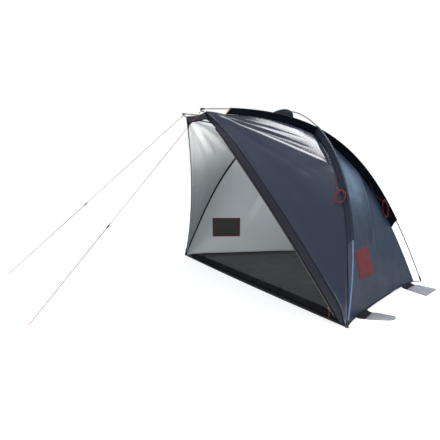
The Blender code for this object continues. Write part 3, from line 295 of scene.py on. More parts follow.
# %% Sleeves, bags and trims
LOOKS.update({
    # Heavy uncoated polyester over the long poles: navy black, without a highlight.
    "sleeve": coated_cloth("heavy_polyester_navy_black", "#0d121a", 0.6, 1 * MM, "#2a2d33",
                           Specular_IOR_Level=0.04),
    # The hoop's sleeves are of a slate cloth that catches a little light on its round.
    "hoop_sleeve": coated_cloth("heavy_polyester_slate", "#272d3a", 0.5, 1 * MM, "#0d1016",
                                Specular_IOR_Level=0.25),
    # The rolled door: black polyester, whose deep creases are its only light and dark.
    "door": coated_cloth("coated_polyester_black", "#0b0b0e", 0.62, 1.2 * MM, "#26262c",
                         Specular_IOR_Level=0.12),
    # Polypropylene webbing, woven thick: black and dry.
    "webbing": coated_cloth("polypropylene_webbing_black", "#0e0f12", 0.7, 0.3 * MM,
                            "#202226", Specular_IOR_Level=0.1),
    # Bias tape over the seams: matt navy, a thin dark line between two panels.
    "seam": coated_cloth("polyester_bias_tape_navy", "#131b2b", 0.6, 0.2 * MM, "#1d2a44",
                         Specular_IOR_Level=0.15),
    # Silver coated polyester of the sand bags: pale grey, with deep, soft crumples.
    "pocket": coated_cloth("coated_polyester_silver", "#83838d", 0.42, 6 * MM, "#5d5f67"),
    # A plain patch of woven polyester, dyed dark red: flat and matt.
    "patch": coated_cloth("woven_polyester_red", "#720f14", 0.6, 0.4 * MM, "#3b1517"),
    # Bias tape round the sleeves' ends: matt ochre, the one warm line on the canopy.
    "trim": coated_cloth("polyester_bias_tape_ochre", "#9a5a1e", 0.6, 0.4 * MM),
})
print("cloth materials", len(LOOKS))

# %% [markdown]
# ## Cords
# The guy lines are braided polyester cord. A cord could be swept as a mesh, but a curve
# with a round bevel keeps one thickness round every bend, and its points are the cord's
# true centre line, so its length can be measured. The braid is a diagonal wave pattern.

# %% Cord makers
CORD_R = 1.25 * MM
# A real braid of this cord repeats in about 3 mm. It's drawn twice as coarse, to show.
BRAID_PITCH = 6.046 * MM
BRAID_RELIEF = 0.2 * MM


def tube(name, points, radius, look, cyclic=False, sides=3):
    """A round tube along a line of points."""
    made = bpy.data.curves.new(name, "CURVE")
    made.dimensions = "3D"
    made.bevel_depth = radius
    made.bevel_resolution = sides
    made.use_fill_caps = True
    spline = made.splines.new("POLY")
    spline.points.add(len(points) - 1)
    for knot_point, point in zip(spline.points, points):
        knot_point.co = (*point, 1)
    spline.use_cyclic_u = cyclic
    spline.use_smooth = True
    made.materials.append(look)
    return add_object(name, made)


def length_of(points):
    """The length of a line of points."""
    return sum((b - a).length for a, b in zip(points, points[1:]))


def braided_cord():
    """Braided polyester: bands of light and dark strands round a matt red cord."""
    material, tree = start_material("braided_polyester_red", "#8c0f1d", 0.6, Sheen_Weight=0.1)
    dark, light = shades("#8c0f1d", 0.7, 1.12)
    spot = add_node(tree, "TexCoord", out="Object")
    # A diagonal wave adds up three axes at half the rate, hence the 10 and the root.
    scale = 2 * math.pi / (10 * math.sqrt(3) * BRAID_PITCH)
    braid = add_node(tree, "TexWave", {"Vector": spot, "Scale": scale, "Distortion": 3,
                                       "Detail": 1},
                     out="Fac", wave_type="BANDS", bands_direction="DIAGONAL")
    shade = add_node(tree, "Mix", {0: braid, 6: dark, 7: light}, out=2, data_type="RGBA")
    relief = add_node(tree, "Bump", {"Height": braid, "Distance": BRAID_RELIEF})
    feed(tree, Base_Color=shade, Normal=relief)
    return material


CORD = braided_cord()
print("cord", round(2 * CORD_R / MM, 1), "mm thick")

# %% [markdown]
# ### Knots
# Where a cord ends or is tied off, there's a small tight knot. One could be tied by
# pushing a curve about by hand. A trefoil curve has the overhand knot's three crossings
# from a single formula, so each knot is that curve, turned along its cord.

# %% Knots
KNOT_POINTS = 48
KNOT_DEPTH = 1.3


def knot(name, at, along, size, body):
    """A small overhand knot round a cord."""
    side = along.orthogonal().normalized()
    other = along.cross(side)
    points = []
    for k in range(KNOT_POINTS):
        t = 2 * math.pi * k / KNOT_POINTS
        points.append(at + (side * (math.sin(t) + 2 * math.sin(2 * t))
                            + other * (math.cos(t) - 2 * math.cos(2 * t))
                            - along * math.sin(3 * t) * KNOT_DEPTH) * size)
    piece = tube(name, points, CORD_R, CORD, cyclic=True, sides=2)
    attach(piece, body)
    return piece


print("a knot has", KNOT_POINTS, "points")

# %% [markdown]
# ### Front guy lines
# From the eye of each forward tip a cord runs taut to the ground, turns round the place
# of a peg, and comes back up to its runner. A physics rope would find the same straight
# line, so the route is given outright: the eye, a loop of points, and the way back.

# %% The front guy lines
# For each side: the tip's eye, the far end of the ground loop, and the runner's distance.
GUYS = {
    "right": (Vector((0.1577, -0.3911, 1.2612)), Vector((0.2280, -1.5480, 0.0014)), 0.979),
    "left": (Vector((-0.1577, -0.3911, 1.2612)), Vector((-1.1850, -1.6130, 0.0014)), 1.052),
}
LUG_REACH = 6.9 * MM
RUNNER_LENGTH = 22 * MM
STRAND_PITCH = 7 * MM
LOOP_R = 12 * MM
LOOP_FLATNESS = 0.8
LOOP_START, LOOP_TURN, LOOP_STEPS = -40, 260, 12
TIP_KNOT_AT = 12 * MM
UPPER_KNOT_AT = 119 * MM
TIP_KNOT, END_KNOT = 1.1 * MM, 1.0 * MM


def guy_line(word):
    """One front guy with its loop, its return strand and its knots."""
    eye, end, runner_at = GUYS[word]
    along = (end - eye).normalized()
    sideways = along.cross(UP).normalized()
    start = eye + along * LUG_REACH
    offset = sideways * STRAND_PITCH
    neck = start + along * ((end - start).length - 4 * LOOP_R)
    centre = end - along * LOOP_R + offset / 2
    loop = []
    for k in range(LOOP_STEPS + 1):
        angle = math.radians(LOOP_START + LOOP_TURN * k / LOOP_STEPS)
        loop.append(centre + along * LOOP_R * math.sin(angle)
                    - sideways * LOOP_R * LOOP_FLATNESS * math.cos(angle))
    back = start + along * (runner_at - RUNNER_LENGTH)
    route = [start, neck, *loop, neck + offset, back + offset]
    piece = tube(f"cord_guy_{word}", route, CORD_R, CORD)
    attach(piece, "shelter")
    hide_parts(f"guy_line_{word}")
    knots = [knot(f"knot_tip_{word}", start + along * TIP_KNOT_AT, along, TIP_KNOT, "shelter"),
             knot(f"knot_end_{word}", route[-1], along, END_KNOT, "shelter")]
    if word == "left":
        upper = start + along * UPPER_KNOT_AT
        knots.append(knot("knot_upper_left", upper, along, TIP_KNOT, "shelter"))
    return length_of(route)


for word in GUYS:
    print("guy", word, round(guy_line(word), 3))

# %% [markdown]
# ### Stowed side guys
# Four more guys aren't in use. Each is wound into a hank of three turns, tied with a
# ring of cord, and hangs from its sleeve by a short lead. A spiral of points makes the
# turns, each a little wider and further out than the last, so that no two strands share
# a place. A cubic curve leads into it smoothly.

# %% Where the hanks hang
# For each hank on the right side: centre, sideways, up, outwards, the lead's start, the
# direction in which the lead leaves it, width and height. The left side mirrors them.
HANKS = {
    "hoop": (Vector((0.8662, 0.1976, 0.6946)), Vector((-0.9103, -0.4140, 0)),
             Vector((-0.2005, 0.4410, 0.8748)), Vector((0.3621, -0.7963, 0.4845)),
             Vector((0.7623, 0.2637, 0.8409)), Vector((0, -0.9532, 0.3024)), 0.062, 0.080),
    "rear": (Vector((0.6131, 0.8442, 0.5595)), Vector((0.0331, -0.9995, 0)),
             Vector((-0.2049, -0.0068, 0.9788)), Vector((0.9782, 0.0324, 0.2050)),
             Vector((0.5609, 0.7488, 0.7486)), Vector((0.9436, -0.3312, 0)), 0.054, 0.120),
}
HANK_TURNS = 3
HANK_PITCH = 3.4 * MM
HANK_SPREAD = 5.5 * MM
TIE_R = 8.5 * MM
TIE_POINTS = 24
TURN_POINTS = 24
# The lead leaves its sleeve to one side, and drops and arrives over these shares of it.
LEAD_POINTS = 9
LEAD_ASIDE = 3 * MM
LEAD_DROP, LEAD_ARRIVAL = 0.4, 0.35
SIDES = (("right", 1), ("left", -1))


def flipped(point, side):
    """A place on the right side, or its mirror on the left."""
    return Vector((point.x * side, point.y, point.z))


def bezier(a, b, c, d, count):
    """Points on a cubic curve."""
    spots = []
    for k in range(count):
        t = k / (count - 1)
        spots.append(a * (1 - t) ** 3 + b * 3 * t * (1 - t) ** 2 + c * 3 * t * t * (1 - t)
                     + d * t ** 3)
    return spots


print("hanks", len(HANKS) * len(SIDES))


# %% The stowed guys
def hank_route(kind, side):
    """The centre line of a hank, from its sleeve to its knot."""
    centre, sideways, up, outwards, start, beside, width, height = HANKS[kind]
    coil = []
    for k in range(HANK_TURNS * TURN_POINTS + 1):
        angle = math.pi / 2 + 2 * math.pi * k / TURN_POINTS
        spot = (centre + sideways * math.cos(angle) * width / 2
                + up * math.sin(angle) * height / 2 + outwards * HANK_PITCH * k / TURN_POINTS)
        spread = HANK_SPREAD * (k / TURN_POINTS / (HANK_TURNS / 2) - 1)
        coil.append(spot + (spot - centre).normalized() * spread)
    pull = (start - coil[0]).length
    arrive = (coil[1] - coil[0]).normalized()
    lead = bezier(start, start - up * pull * LEAD_DROP + beside * LEAD_ASIDE,
                  coil[0] - arrive * pull * LEAD_ARRIVAL, coil[0], LEAD_POINTS)
    return [flipped(p, side) for p in lead[:-1] + coil]


def stowed_guy(kind, word, side):
    """A hank with the ring that ties it and the knot at its end."""
    route = hank_route(kind, side)
    piece = tube(f"cord_hank_{kind}_{word}", route, CORD_R, CORD, sides=2)
    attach(piece, "shelter")
    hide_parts(f"stowed_guy_{kind}_{word}")
    last = (route[-1] - route[-2]).normalized()
    tops = [route[LEAD_POINTS - 1 + k * TURN_POINTS] for k in range(HANK_TURNS + 1)]
    top = sum(tops, Vector()) / len(tops)
    across = (top - flipped(HANKS[kind][0], side)).normalized()
    out = flipped(HANKS[kind][3], side)
    angles = [2 * math.pi * k / TIE_POINTS for k in range(TIE_POINTS)]
    ring = [top + across * math.cos(a) * TIE_R + out * math.sin(a) * TIE_R for a in angles]
    tie = tube(f"tie_{kind}_{word}", ring, CORD_R, CORD, cyclic=True, sides=2)
    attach(tie, "shelter")
    end = knot(f"knot_{kind}_{word}", route[-1], last, END_KNOT, "shelter")
    return length_of(route)


for kind in HANKS:
    for word, side in SIDES:
        print("hank", kind, word, round(stowed_guy(kind, word, side), 3))

# %% [markdown]
# ## Cloth
# Each panel of the CAD frame is a plain, closed sheet of a few large facets. To fold it,
# its outer face is cut free, made fine, folded, and given its thickness again. A cloth
# simulation could find the folds, but a tent is held taut by its poles, and its folds
# are known from the photograph, so they're made in code at their own places.

# %% Coarse sheets from the CAD pieces
INSIDE = Vector((0, 0.42, 0.32))
WELD_GAP = 0.02 * MM
SHARP_CORNER = math.radians(55)


def welded(node):
    """A node's mesh with its corners joined and its triangles paired into quads."""
    bm = bmesh.new()
    bm.from_mesh(NODES[node].data)
    bmesh.ops.remove_doubles(bm, verts=bm.verts, dist=WELD_GAP)
    bmesh.ops.join_triangles(bm, faces=bm.faces, angle_face_threshold=0.9,
                             angle_shape_threshold=3.1, topology_influence=1.0)
    bm.normal_update()
    return bm


def smooth_group(first, seen):
    """All the faces that can be reached from one without crossing a sharp edge."""
    group, stack = [], [first]
    while stack:
        current = stack.pop()
        group.append(current)
        for edge in current.edges:
            if len(edge.link_faces) != 2 or edge.calc_face_angle(0) > SHARP_CORNER:
                continue
            for other in edge.link_faces:
                if other not in seen:
                    seen.add(other)
                    stack.append(other)
    return group


def outer_sheet(node, away=INSIDE):
    """Only the face of a cloth that looks away from a point, as an open mesh."""
    bm = welded(node)
    seen = set()
    groups = []
    for face in bm.faces:
        if face not in seen:
            seen.add(face)
            groups.append(smooth_group(face, seen))
    groups.sort(key=lambda g: -sum(f.calc_area() for f in g))
    # The two largest groups are the cloth's outer and inner faces.
    best = max(groups[:2], key=lambda g: sum(
        f.normal.dot(f.calc_center_median() - away) * f.calc_area() for f in g))
    drop = [f for f in bm.faces if f not in set(best)]
    bmesh.ops.delete(bm, geom=drop, context="FACES")
    return bm


trial = outer_sheet("roof_panel")
print("the roof's outer sheet has", len(trial.faces), "coarse faces")
trial.free()

# %% [markdown]
# ### Making a sheet finer
# A Subdivision Surface modifier turns coarse facets into a smooth surface, but it shrinks
# away from the corners it starts from, and the cloth would leave its poles. Finer CAD
# facets would avoid that, at the cost of a heavy model. Here the coarse corners are
# pushed out a few times by the gap that is left, until the smooth sheet passes through
# their old places.

# %% Finer sheets
FIT_ROUNDS = 4


def coordinates(mesh, count=None):
    """The places of a mesh's points, as rows of an array."""
    spots = np.empty(len(mesh.vertices) * 3)
    mesh.vertices.foreach_get("co", spots)
    return spots.reshape(-1, 3)[:count]


def mark_creases(bm, angle):
    """Keeps edges sharper than an angle, and the corners where they meet, as creases."""
    layer = bm.edges.layers.float.new("crease_edge")
    corner = bm.verts.layers.float.new("crease_vert")
    for edge in bm.edges:
        if len(edge.link_faces) == 2 and edge.calc_face_angle(0) > math.radians(angle):
            edge[layer] = 1
    for vert in bm.verts:
        if sum(edge[layer] > 0.5 for edge in vert.link_edges) > 2:
            vert[corner] = 1


def evaluated(piece):
    """A piece as its modifiers leave it."""
    bpy.context.view_layer.update()
    return piece.evaluated_get(bpy.context.evaluated_depsgraph_get())


def finer(bm, levels, crease=None):
    """A subdivided mesh that still passes through each corner of the coarse one."""
    if crease is not None:
        mark_creases(bm, crease)
    mesh = bpy.data.meshes.new("coarse")
    bm.to_mesh(mesh)
    bm.free()
    holder = add_object("coarse", mesh)
    finer_by = holder.modifiers.new("finer", "SUBSURF")
    finer_by.levels = finer_by.render_levels = levels
    finer_by.boundary_smooth = "PRESERVE_CORNERS"
    aim = coordinates(mesh)
    now = aim.copy()
    for _ in range(FIT_ROUNDS):
        now += aim - coordinates(evaluated(holder).data, len(aim))
        mesh.vertices.foreach_set("co", now.ravel())
        mesh.update()
    made = bpy.data.meshes.new_from_object(evaluated(holder))
    bpy.data.objects.remove(holder)
    bpy.data.meshes.remove(mesh)
    return made


trial = finer(outer_sheet("roof_panel"), 3)
print("the roof's finer sheet has", len(trial.polygons), "faces")
bpy.data.meshes.remove(trial)

# %% [markdown]
# ### Distances from the edge, and flat coordinates
# Stitches run beside a panel's edge, and folds die out towards it. So each point of a
# sheet stores how far it is from the edge, and how far along the edge its nearest place
# lies. Painting these by hand would be slow; a KD tree finds the nearest edge place at
# once. The threads need flat coordinates, which are the sheet's two longest directions.

# %% Edge distances
EDGE_STEPS = 8
# Where the place along the rim jumps by more edge lengths than this, a loop closes.
LOOP_JUMP = 1.5


def edge_places(rim):
    """The place of each edge point along the cloth's edge, walked from point to point."""
    places = {}
    left = dict.fromkeys(rim)
    while left:
        edge, _ = left.popitem()
        start, vert, reach = edge.verts[0], edge.verts[1], edge.calc_length()
        places.setdefault(start.index, 0.0)
        while vert.index not in places:
            places[vert.index] = reach
            step = next((e for e in vert.link_edges if e in left), None)
            if step is None:
                break
            left.pop(step)
            reach += step.calc_length()
            vert = step.other_vert(vert)
    return places


def mark_edges(mesh):
    """Writes each point's distance from the cloth's edge and its place along that edge."""
    bm = bmesh.new()
    bm.from_mesh(mesh)
    rim = [e for e in bm.edges if len(e.link_faces) == 1]
    places = edge_places(rim)
    tree = KDTree(len(rim) * (EDGE_STEPS + 1))
    values = []
    for edge in rim:
        a, b = edge.verts
        pa, pb = places[a.index], places[b.index]
        if abs(pb - pa) > edge.calc_length() * LOOP_JUMP:
            pb = pa + edge.calc_length()
        for k in range(EDGE_STEPS + 1):
            t = k / EDGE_STEPS
            tree.insert(a.co.lerp(b.co, t), len(values))
            values.append(pa + (pb - pa) * t)
    tree.balance()
    found = [tree.find(vert.co) for vert in bm.verts]
    bm.free()
    gaps = [gap for _, _, gap in found]
    mesh.attributes.new("edge", "FLOAT", "POINT").data.foreach_set("value", gaps)
    along = [values[i] for _, i, _ in found]
    mesh.attributes.new("along", "FLOAT", "POINT").data.foreach_set("value", along)
    return np.array(gaps)


print("each edge is sampled at", EDGE_STEPS + 1, "places")

# %% Flat coordinates and normals
AXIS_SAMPLE = 7


def lay_uv(mesh):
    """A UV map in metres across the cloth's own flat directions."""
    spots = coordinates(mesh)
    middle = spots.mean(0)
    _, _, axes = np.linalg.svd((spots - middle)[::AXIS_SAMPLE], full_matrices=False)
    flat = (spots - middle) @ axes[:2].T
    layer = mesh.uv_layers.new(name="cloth")
    corner = np.empty(len(mesh.loops), int)
    mesh.loops.foreach_get("vertex_index", corner)
    layer.data.foreach_set("uv", flat[corner].ravel())


def normals(mesh):
    """The direction in which each point of a mesh faces."""
    values = np.empty(len(mesh.vertices) * 3)
    mesh.vertex_normals.foreach_get("vector", values)
    return values.reshape(-1, 3)


print("flat directions come from one point in", AXIS_SAMPLE)

# %% [markdown]
# ### Tapes along seams and edges
# On the real shelter a narrow tape covers each seam, inside and out, and another is
# folded round each free edge. A tape could be cut out of the panels' own mesh, but they
# meet with unlike points. So each cloth remembers its edge points, and a strip is laid
# through the ones that face each other. The strip starts as a flat grid of cells whose
# corners are moved to those rows of points.

# %% Remembered edges
BORDERS = {}


def keep_border(node, mesh):
    """Remembers the points on a cloth's edge, with the way inwards along the cloth."""
    bm = bmesh.new()
    bm.from_mesh(mesh)
    bm.normal_update()
    rows = []
    for vert in bm.verts:
        rim = [e for e in vert.link_edges if len(e.link_faces) == 1]
        if len(rim) == 2:
            ahead = (rim[0].other_vert(vert).co - rim[1].other_vert(vert).co).normalized()
            inward = vert.normal.cross(ahead)
            middle = sum((f.calc_center_median() for f in vert.link_faces), Vector())
            if inward.dot(middle / len(vert.link_faces) - vert.co) < 0:
                inward = -inward
            rows.append((vert.co.copy(), vert.normal.copy(), inward))
    bm.free()
    BORDERS[node] = rows


def nearest_places(points):
    """A tree that finds the nearest of some points."""
    tree = KDTree(len(points))
    for i, point in enumerate(points):
        tree.insert(point, i)
    tree.balance()
    return tree


def order_along(points):
    """The order of points along the direction in which they reach furthest."""
    spots = np.array(points)
    gaps = spots - spots.mean(0)
    _, _, axes = np.linalg.svd(gaps, full_matrices=False)
    return np.argsort(gaps @ axes[0])


print("a test line's order", list(order_along([(0, 0, 0), (2, 0, 0), (1, 0, 0)])))

# %% Strips of tape
TAPE_BREAK = 80 * MM


def ribbon(name, rows, look, thickness, offset):
    """A thin strip of cloth through rows of points, broken where two rows lie far apart."""
    cells = len(rows[0]) - 1
    bm = bmesh.new()
    bmesh.ops.create_grid(bm, x_segments=cells, y_segments=len(rows) - 1, size=1)
    for vert, point in zip(bm.verts, [point for row in rows for point in row]):
        vert.co = point
    far = [face for i, face in enumerate(bm.faces)
           if (rows[i // cells + 1][0] - rows[i // cells][0]).length >= TAPE_BREAK]
    bmesh.ops.delete(bm, geom=far, context="FACES")
    bmesh.ops.recalc_face_normals(bm, faces=bm.faces)
    mesh = bpy.data.meshes.new(name)
    bm.to_mesh(mesh)
    bm.free()
    lay_uv(mesh)
    mesh.materials.append(LOOKS[look])
    mesh.shade_smooth()
    piece = add_object(name, mesh)
    shell = piece.modifiers.new("shell", "SOLIDIFY")
    shell.thickness = thickness
    shell.offset = offset
    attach(piece, "shelter")
    print(name, "rows", len(rows))


print("a tape breaks over gaps of", round(TAPE_BREAK / MM), "mm")

# %% Tapes along seams
TAPE_THICKNESS = 0.5 * MM
TAPE_STEP = 6 * MM
# A tape's middle stands this many times as far from the cloth as its sides do.
RIDGE = 1.6


# Its black webbing inside is partly painted shadow of the sleeves seen through the cloth.
def seam_tape(first, second, width=8 * MM, lower=1.6 * MM, look="webbing", reach=12 * MM):
    """A narrow tape along the seam between two panels, which covers their joint."""
    tree = nearest_places([spot for spot, _, _ in BORDERS[second]])
    rows = []
    for spot, normal, inward in BORDERS[first]:
        _, found, gap = tree.find(spot)
        if gap < reach:
            other, other_normal, other_inward = BORDERS[second][found]
            between = (normal + other_normal).normalized()
            rows.append((spot + inward * width - normal * lower,
                         (spot + other) / 2 - between * lower * RIDGE,
                         other + other_inward * width - other_normal * lower))
    kept = []
    for index in order_along([row[1] for row in rows]):
        if not kept or (rows[index][1] - kept[-1][1]).length > TAPE_STEP:
            kept.append(rows[index])
    side = "inner" if lower > 0 else "outer"
    ribbon(f"seam_{side}_{first}_{second}", kept, look, TAPE_THICKNESS, -1)


print("tapes are", TAPE_THICKNESS / MM, "mm thick")

# %% [markdown]
# ### Putting a cloth together
# A real panel is one thin layer with two unlike faces: dyed outside, pale film inside.
# The folded sheet could stay open, with a material that tells its two faces apart, but
# an exported model loses that, and its edge would have no thickness. A Solidify modifier
# gives it a true one, with the second material on the inner face. Soft pieces that are
# closed already, such as sleeves and bags, are only made finer, with their sharp edges
# kept as creases.

# %% Thin cloths
CLOTH_THICKNESS = 0.8 * MM
CALM_EDGE = 30 * MM
CALM_POWER = 1.5


def cloth(node, levels, looks, fold=None, away=INSIDE):
    """Replaces a panel by a finer, folded and thin one."""
    mesh = finer(outer_sheet(node, away), levels)
    edge = mark_edges(mesh)
    if fold:
        spots = coordinates(mesh)
        lift = fold(spots, edge) * np.clip(edge / CALM_EDGE, 0, 1) ** CALM_POWER
        spots = spots + normals(mesh) * lift[:, None]
        mesh.vertices.foreach_set("co", spots.ravel())
        mesh.update()
    keep_border(node, mesh)
    lay_uv(mesh)
    for look in looks:
        mesh.materials.append(LOOKS[look])
    mesh.shade_smooth()
    piece = add_object(f"cloth_{node}", mesh)
    shell = piece.modifiers.new("shell", "SOLIDIFY")
    shell.thickness = CLOTH_THICKNESS
    shell.offset = -1
    shell.material_offset = len(looks) - 1
    shell.material_offset_rim = 0
    final = bpy.data.meshes.new_from_object(evaluated(piece))
    piece.modifiers.clear()
    piece.data = final
    bpy.data.meshes.remove(mesh)
    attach(piece, "shelter")
    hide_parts(node)
    area = sum(p.area for p in final.polygons) / 2
    print(node, "faces", len(final.polygons), "area", round(area, 3))
    return piece


print("cloth is", CLOTH_THICKNESS / MM, "mm thick")

# %% Closed soft pieces
CREASE_ANGLE = 75


def solid(node, levels, look, body="shelter", root=None):
    """Replaces a closed soft piece by a smoother one, with another cloth near its hinge."""
    mesh = finer(welded(node), levels, CREASE_ANGLE)
    lay_uv(mesh)
    mesh.materials.append(LOOKS[look])
    if root:
        at, ahead, reach, other = root
        mesh.materials.append(LOOKS[other])
        for face in mesh.polygons:
            gap = face.center - at
            face.material_index = int((gap - ahead * gap.dot(ahead)).length < reach)
    mesh.shade_smooth()
    piece = add_object(f"soft_{node}", mesh)
    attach(piece, body)
    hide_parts(node)
    print(node, "faces", len(mesh.polygons))
    return piece


print("edges over", CREASE_ANGLE, "degrees stay sharp")

# %% [markdown]
# ## Folds
# Cloth that is pulled at a corner folds in straight crests that run out from it, and a
# sheet between two poles keeps a long facet where its curve changes. Sculpting could
# carve them, but a formula can be moved and measured. A fold here is a line on a panel,
# in metres from one corner: x along an edge, y away from it. Its crest is sharp, and its
# two sides may be of unlike width.


# %% Flat coordinates on a panel
class Panel:
    """Flat coordinates on a panel from three of its corners."""

    def __init__(self, corner, along, across, side):
        corner, along, across = (np.array(p) * (side, 1, 1) for p in (corner, along, across))
        self.origin = corner
        self.x = (along - corner) / np.linalg.norm(along - corner)
        rest = across - corner
        rest = rest - self.x * rest.dot(self.x)
        self.y = rest / np.linalg.norm(rest)

    def of(self, spots):
        """How far points lie along the edge, and away from it."""
        gap = spots - self.origin
        return gap @ self.x, gap @ self.y


def smooth(value, low, high):
    """Rises smoothly from 0 to 1 between two values."""
    t = np.clip((value - low) / (high - low), 0, 1)
    return t * t * (3 - 2 * t)


def window(value, opens, opened, closes, closed):
    """Rises smoothly from 0 to 1, stays, and falls again."""
    return smooth(value, opens, opened) * (1 - smooth(value, closes, closed))


print("a window's middle is", window(0.5, 0, 0.2, 0.8, 1))

# %% Crests and waves
FADE_SHARE = 0.18
DRAPE_WAVES = 5
DRAPE_SIZE = 0.55


def fold_line(x, y, line, height, above, below, crest):
    """A crest along a line of points, whose sides fall off above and below it."""
    best = np.full(len(x), np.inf)
    sign = np.zeros(len(x))
    reach = np.zeros(len(x))
    total = sum(math.dist(a, b) for a, b in zip(line, line[1:]))
    done = 0.0
    for (ax, ay), (bx, by) in zip(line, line[1:]):
        span = math.dist((ax, ay), (bx, by))
        ux, uy = (bx - ax) / span, (by - ay) / span
        t = np.clip((x - ax) * ux + (y - ay) * uy, 0, span)
        dx, dy = x - ax - ux * t, y - ay - uy * t
        gap = np.hypot(dx, dy)
        nearer = gap < best
        best = np.where(nearer, gap, best)
        sign = np.where(nearer, ux * dy - uy * dx, sign)
        reach = np.where(nearer, (done + t) / total, reach)
        done += span
    width = np.where(sign > 0, above, below)
    soft = np.sqrt(best ** 2 + crest ** 2) - crest
    steep = np.clip(1 - soft / width, 0, None)
    shape = np.where(sign > 0, steep, np.exp(-soft / width))
    return height * shape * window(reach, 0, FADE_SHARE, 1 - FADE_SHARE, 1)


def drape(x, y, height, seed):
    """Slow, shallow waves that no cloth is without, in irregular directions."""
    waves = 0
    for k in range(DRAPE_WAVES):
        angle = 1.9 * k + seed
        size = DRAPE_SIZE / (k + 1.3)
        phase = 2.3 * k * k + seed * 5
        across = x * math.cos(angle) + y * math.sin(angle)
        waves = waves + np.sin(across * 2 * math.pi / size + phase) / (k + 1.5)
    return waves * height


def plain_fold(height, seed, axes=(0, 1)):
    """Slow waves alone, for a panel without folds of its own."""
    return lambda spots, edge: drape(spots[:, axes[0]], spots[:, axes[1]], height, seed)


print("the longest slow wave is", round(DRAPE_SIZE / 1.3, 3), "m")

# %% [markdown]
# ### The folds of the awning and the walls
# The awning is pulled to the tip of its long pole, so its folds fan out from there. Each
# was measured in the photograph as an angle from the mouth's edge. The fan could be left
# to chance, but these crests are what the eye knows the shelter by. On the right panel
# a bright facet also runs below the roof, with fine wrinkles, and each wall has one long
# crest, and lies flat where its patch is sewn.

# %% Places of the folds
TIP_CORNER = (0.1706, -0.3604, 1.2568)
FOOT_CORNER = (1.1391, -0.0023, 0.0036)
CROWN = (0.4171, 0.3480, 1.0970)
REAR_CORNER = (0.6820, 1.0937, 0.0030)
WALL_TOP = (0.4198, 0.3498, 1.0961)

# Each fold: angle in degrees from the mouth's edge, height, width below, width above,
# and the distances from the tip at which it starts and ends.
NEAR_FOLDS = (
    (39.6, 0.0048, 0.080, 0.016, 0.04, 0.93),
    (46.7, 0.0026, 0.022, 0.013, 0.10, 0.62),
    (52.6, 0.0016, 0.014, 0.012, 0.20, 0.52),
    (50.2, -0.0022, 0.014, 0.011, 0.36, 0.74),
    (44.6, -0.0022, 0.014, 0.012, 0.34, 0.78),
    (30.0, -0.0018, 0.030, 0.030, 0.08, 0.90),
)
FAR_FOLDS = (
    (45.0, -0.0130, 0.036, 0.036, 0.03, 0.75),
    (33.5, -0.0100, 0.034, 0.034, 0.03, 0.60),
    (52.5, 0.0080, 0.030, 0.030, 0.05, 0.50),
    (26.0, 0.0070, 0.030, 0.030, 0.04, 0.55),
    (13.0, -0.0030, 0.02, 0.02, 0.10, 0.60),
)
FACET_LINE = ((0.34, 0.645), (0.43, 0.610), (0.477, 0.582), (0.586, 0.527), (0.665, 0.498),
              (0.75, 0.470))
WALL_LINE = ((0.90, 1.05), (0.83, 0.95), (0.80, 0.85), (0.77, 0.74), (0.73, 0.62),
             (0.66, 0.48), (0.58, 0.34))
PATCH_CENTRE = (0.40, 0.29)
print("folds", len(NEAR_FOLDS) + 1, "on the near awning,", len(FAR_FOLDS), "on the far one")

# %% Folds of the awning
# A fold bends as it runs out, by these degrees in a metre. Its angle above holds at the
# second distance from the tip.
FOLD_BEND = 9.8
FOLD_BEND_FROM = 0.28
FOLD_CREST = 1.5 * MM
FADE_IN, FADE_OUT = 0.08, 0.12
# Wrinkles lie this many degrees apart, between these distances and angles.
WRINKLE = 1.9
WRINKLE_HEIGHT = 0.15 * MM
WRINKLE_REACH = (0.30, 0.42, 0.66, 0.78)
WRINKLE_ANGLES = (42, 45, 60, 66)


def tension_fold(reach, angle, at, height, below, above, start, end):
    """A crest that runs out from the tip, as cloth that is pulled there has."""
    gap = reach * np.radians(angle - at)
    width = np.where(gap > 0, above, below)
    soft = np.sqrt(gap ** 2 + FOLD_CREST ** 2) - FOLD_CREST
    shown = window(reach, start, start + FADE_IN, end - FADE_OUT, end)
    return height * np.clip(1 - soft / width, 0, None) * shown


def wrinkles(reach, angle):
    """Fine, uneven wrinkles inside the bright facet."""
    waves = np.sin(2 * math.pi * angle / WRINKLE + 2.5 * np.sin(reach * 11))
    waves = waves + 0.6 * np.sin(2 * math.pi * angle / (WRINKLE * 0.61) + reach * 23)
    facet = window(reach, *WRINKLE_REACH) * window(angle, *WRINKLE_ANGLES)
    return waves * facet * WRINKLE_HEIGHT


def awning_fold(side, folds):
    """All the folds of one awning panel."""
    panel = Panel(TIP_CORNER, FOOT_CORNER, CROWN, side)

    def fold(spots, edge):
        x, y = panel.of(spots)
        reach = np.hypot(x, y)
        angle = np.degrees(np.arctan2(y, x)) + FOLD_BEND * (reach - FOLD_BEND_FROM)
        lift = drape(x, y, 0.5 * MM, 1.0 + side)
        for row in folds:
            lift = lift + tension_fold(reach, angle, *row)
        if side > 0:
            lift = lift + fold_line(x, y, FACET_LINE, 6.6 * MM, 26 * MM, 140 * MM, 3 * MM)
        return lift + wrinkles(reach, angle)

    return fold


print("a fold turns", FOLD_BEND, "degrees in a metre")

# %% Folds of the walls and the hood
FLAT_FROM, FLAT_TO = 0.14, 0.24
HOOD_SAG = 14 * MM


def wall_fold(side):
    """The crest of one side wall, and its flat place under the patch."""
    panel = Panel(FOOT_CORNER, REAR_CORNER, WALL_TOP, side)

    def fold(spots, edge):
        x, y = panel.of(spots)
        lift = drape(x, y, 0.6 * MM, 2.0 + side)
        lift = lift + fold_line(x, y, WALL_LINE, 10 * MM, 60 * MM, 60 * MM, 6 * MM)
        from_patch = np.hypot(x - PATCH_CENTRE[0], y - PATCH_CENTRE[1])
        return lift * smooth(from_patch, FLAT_FROM, FLAT_TO)

    return fold


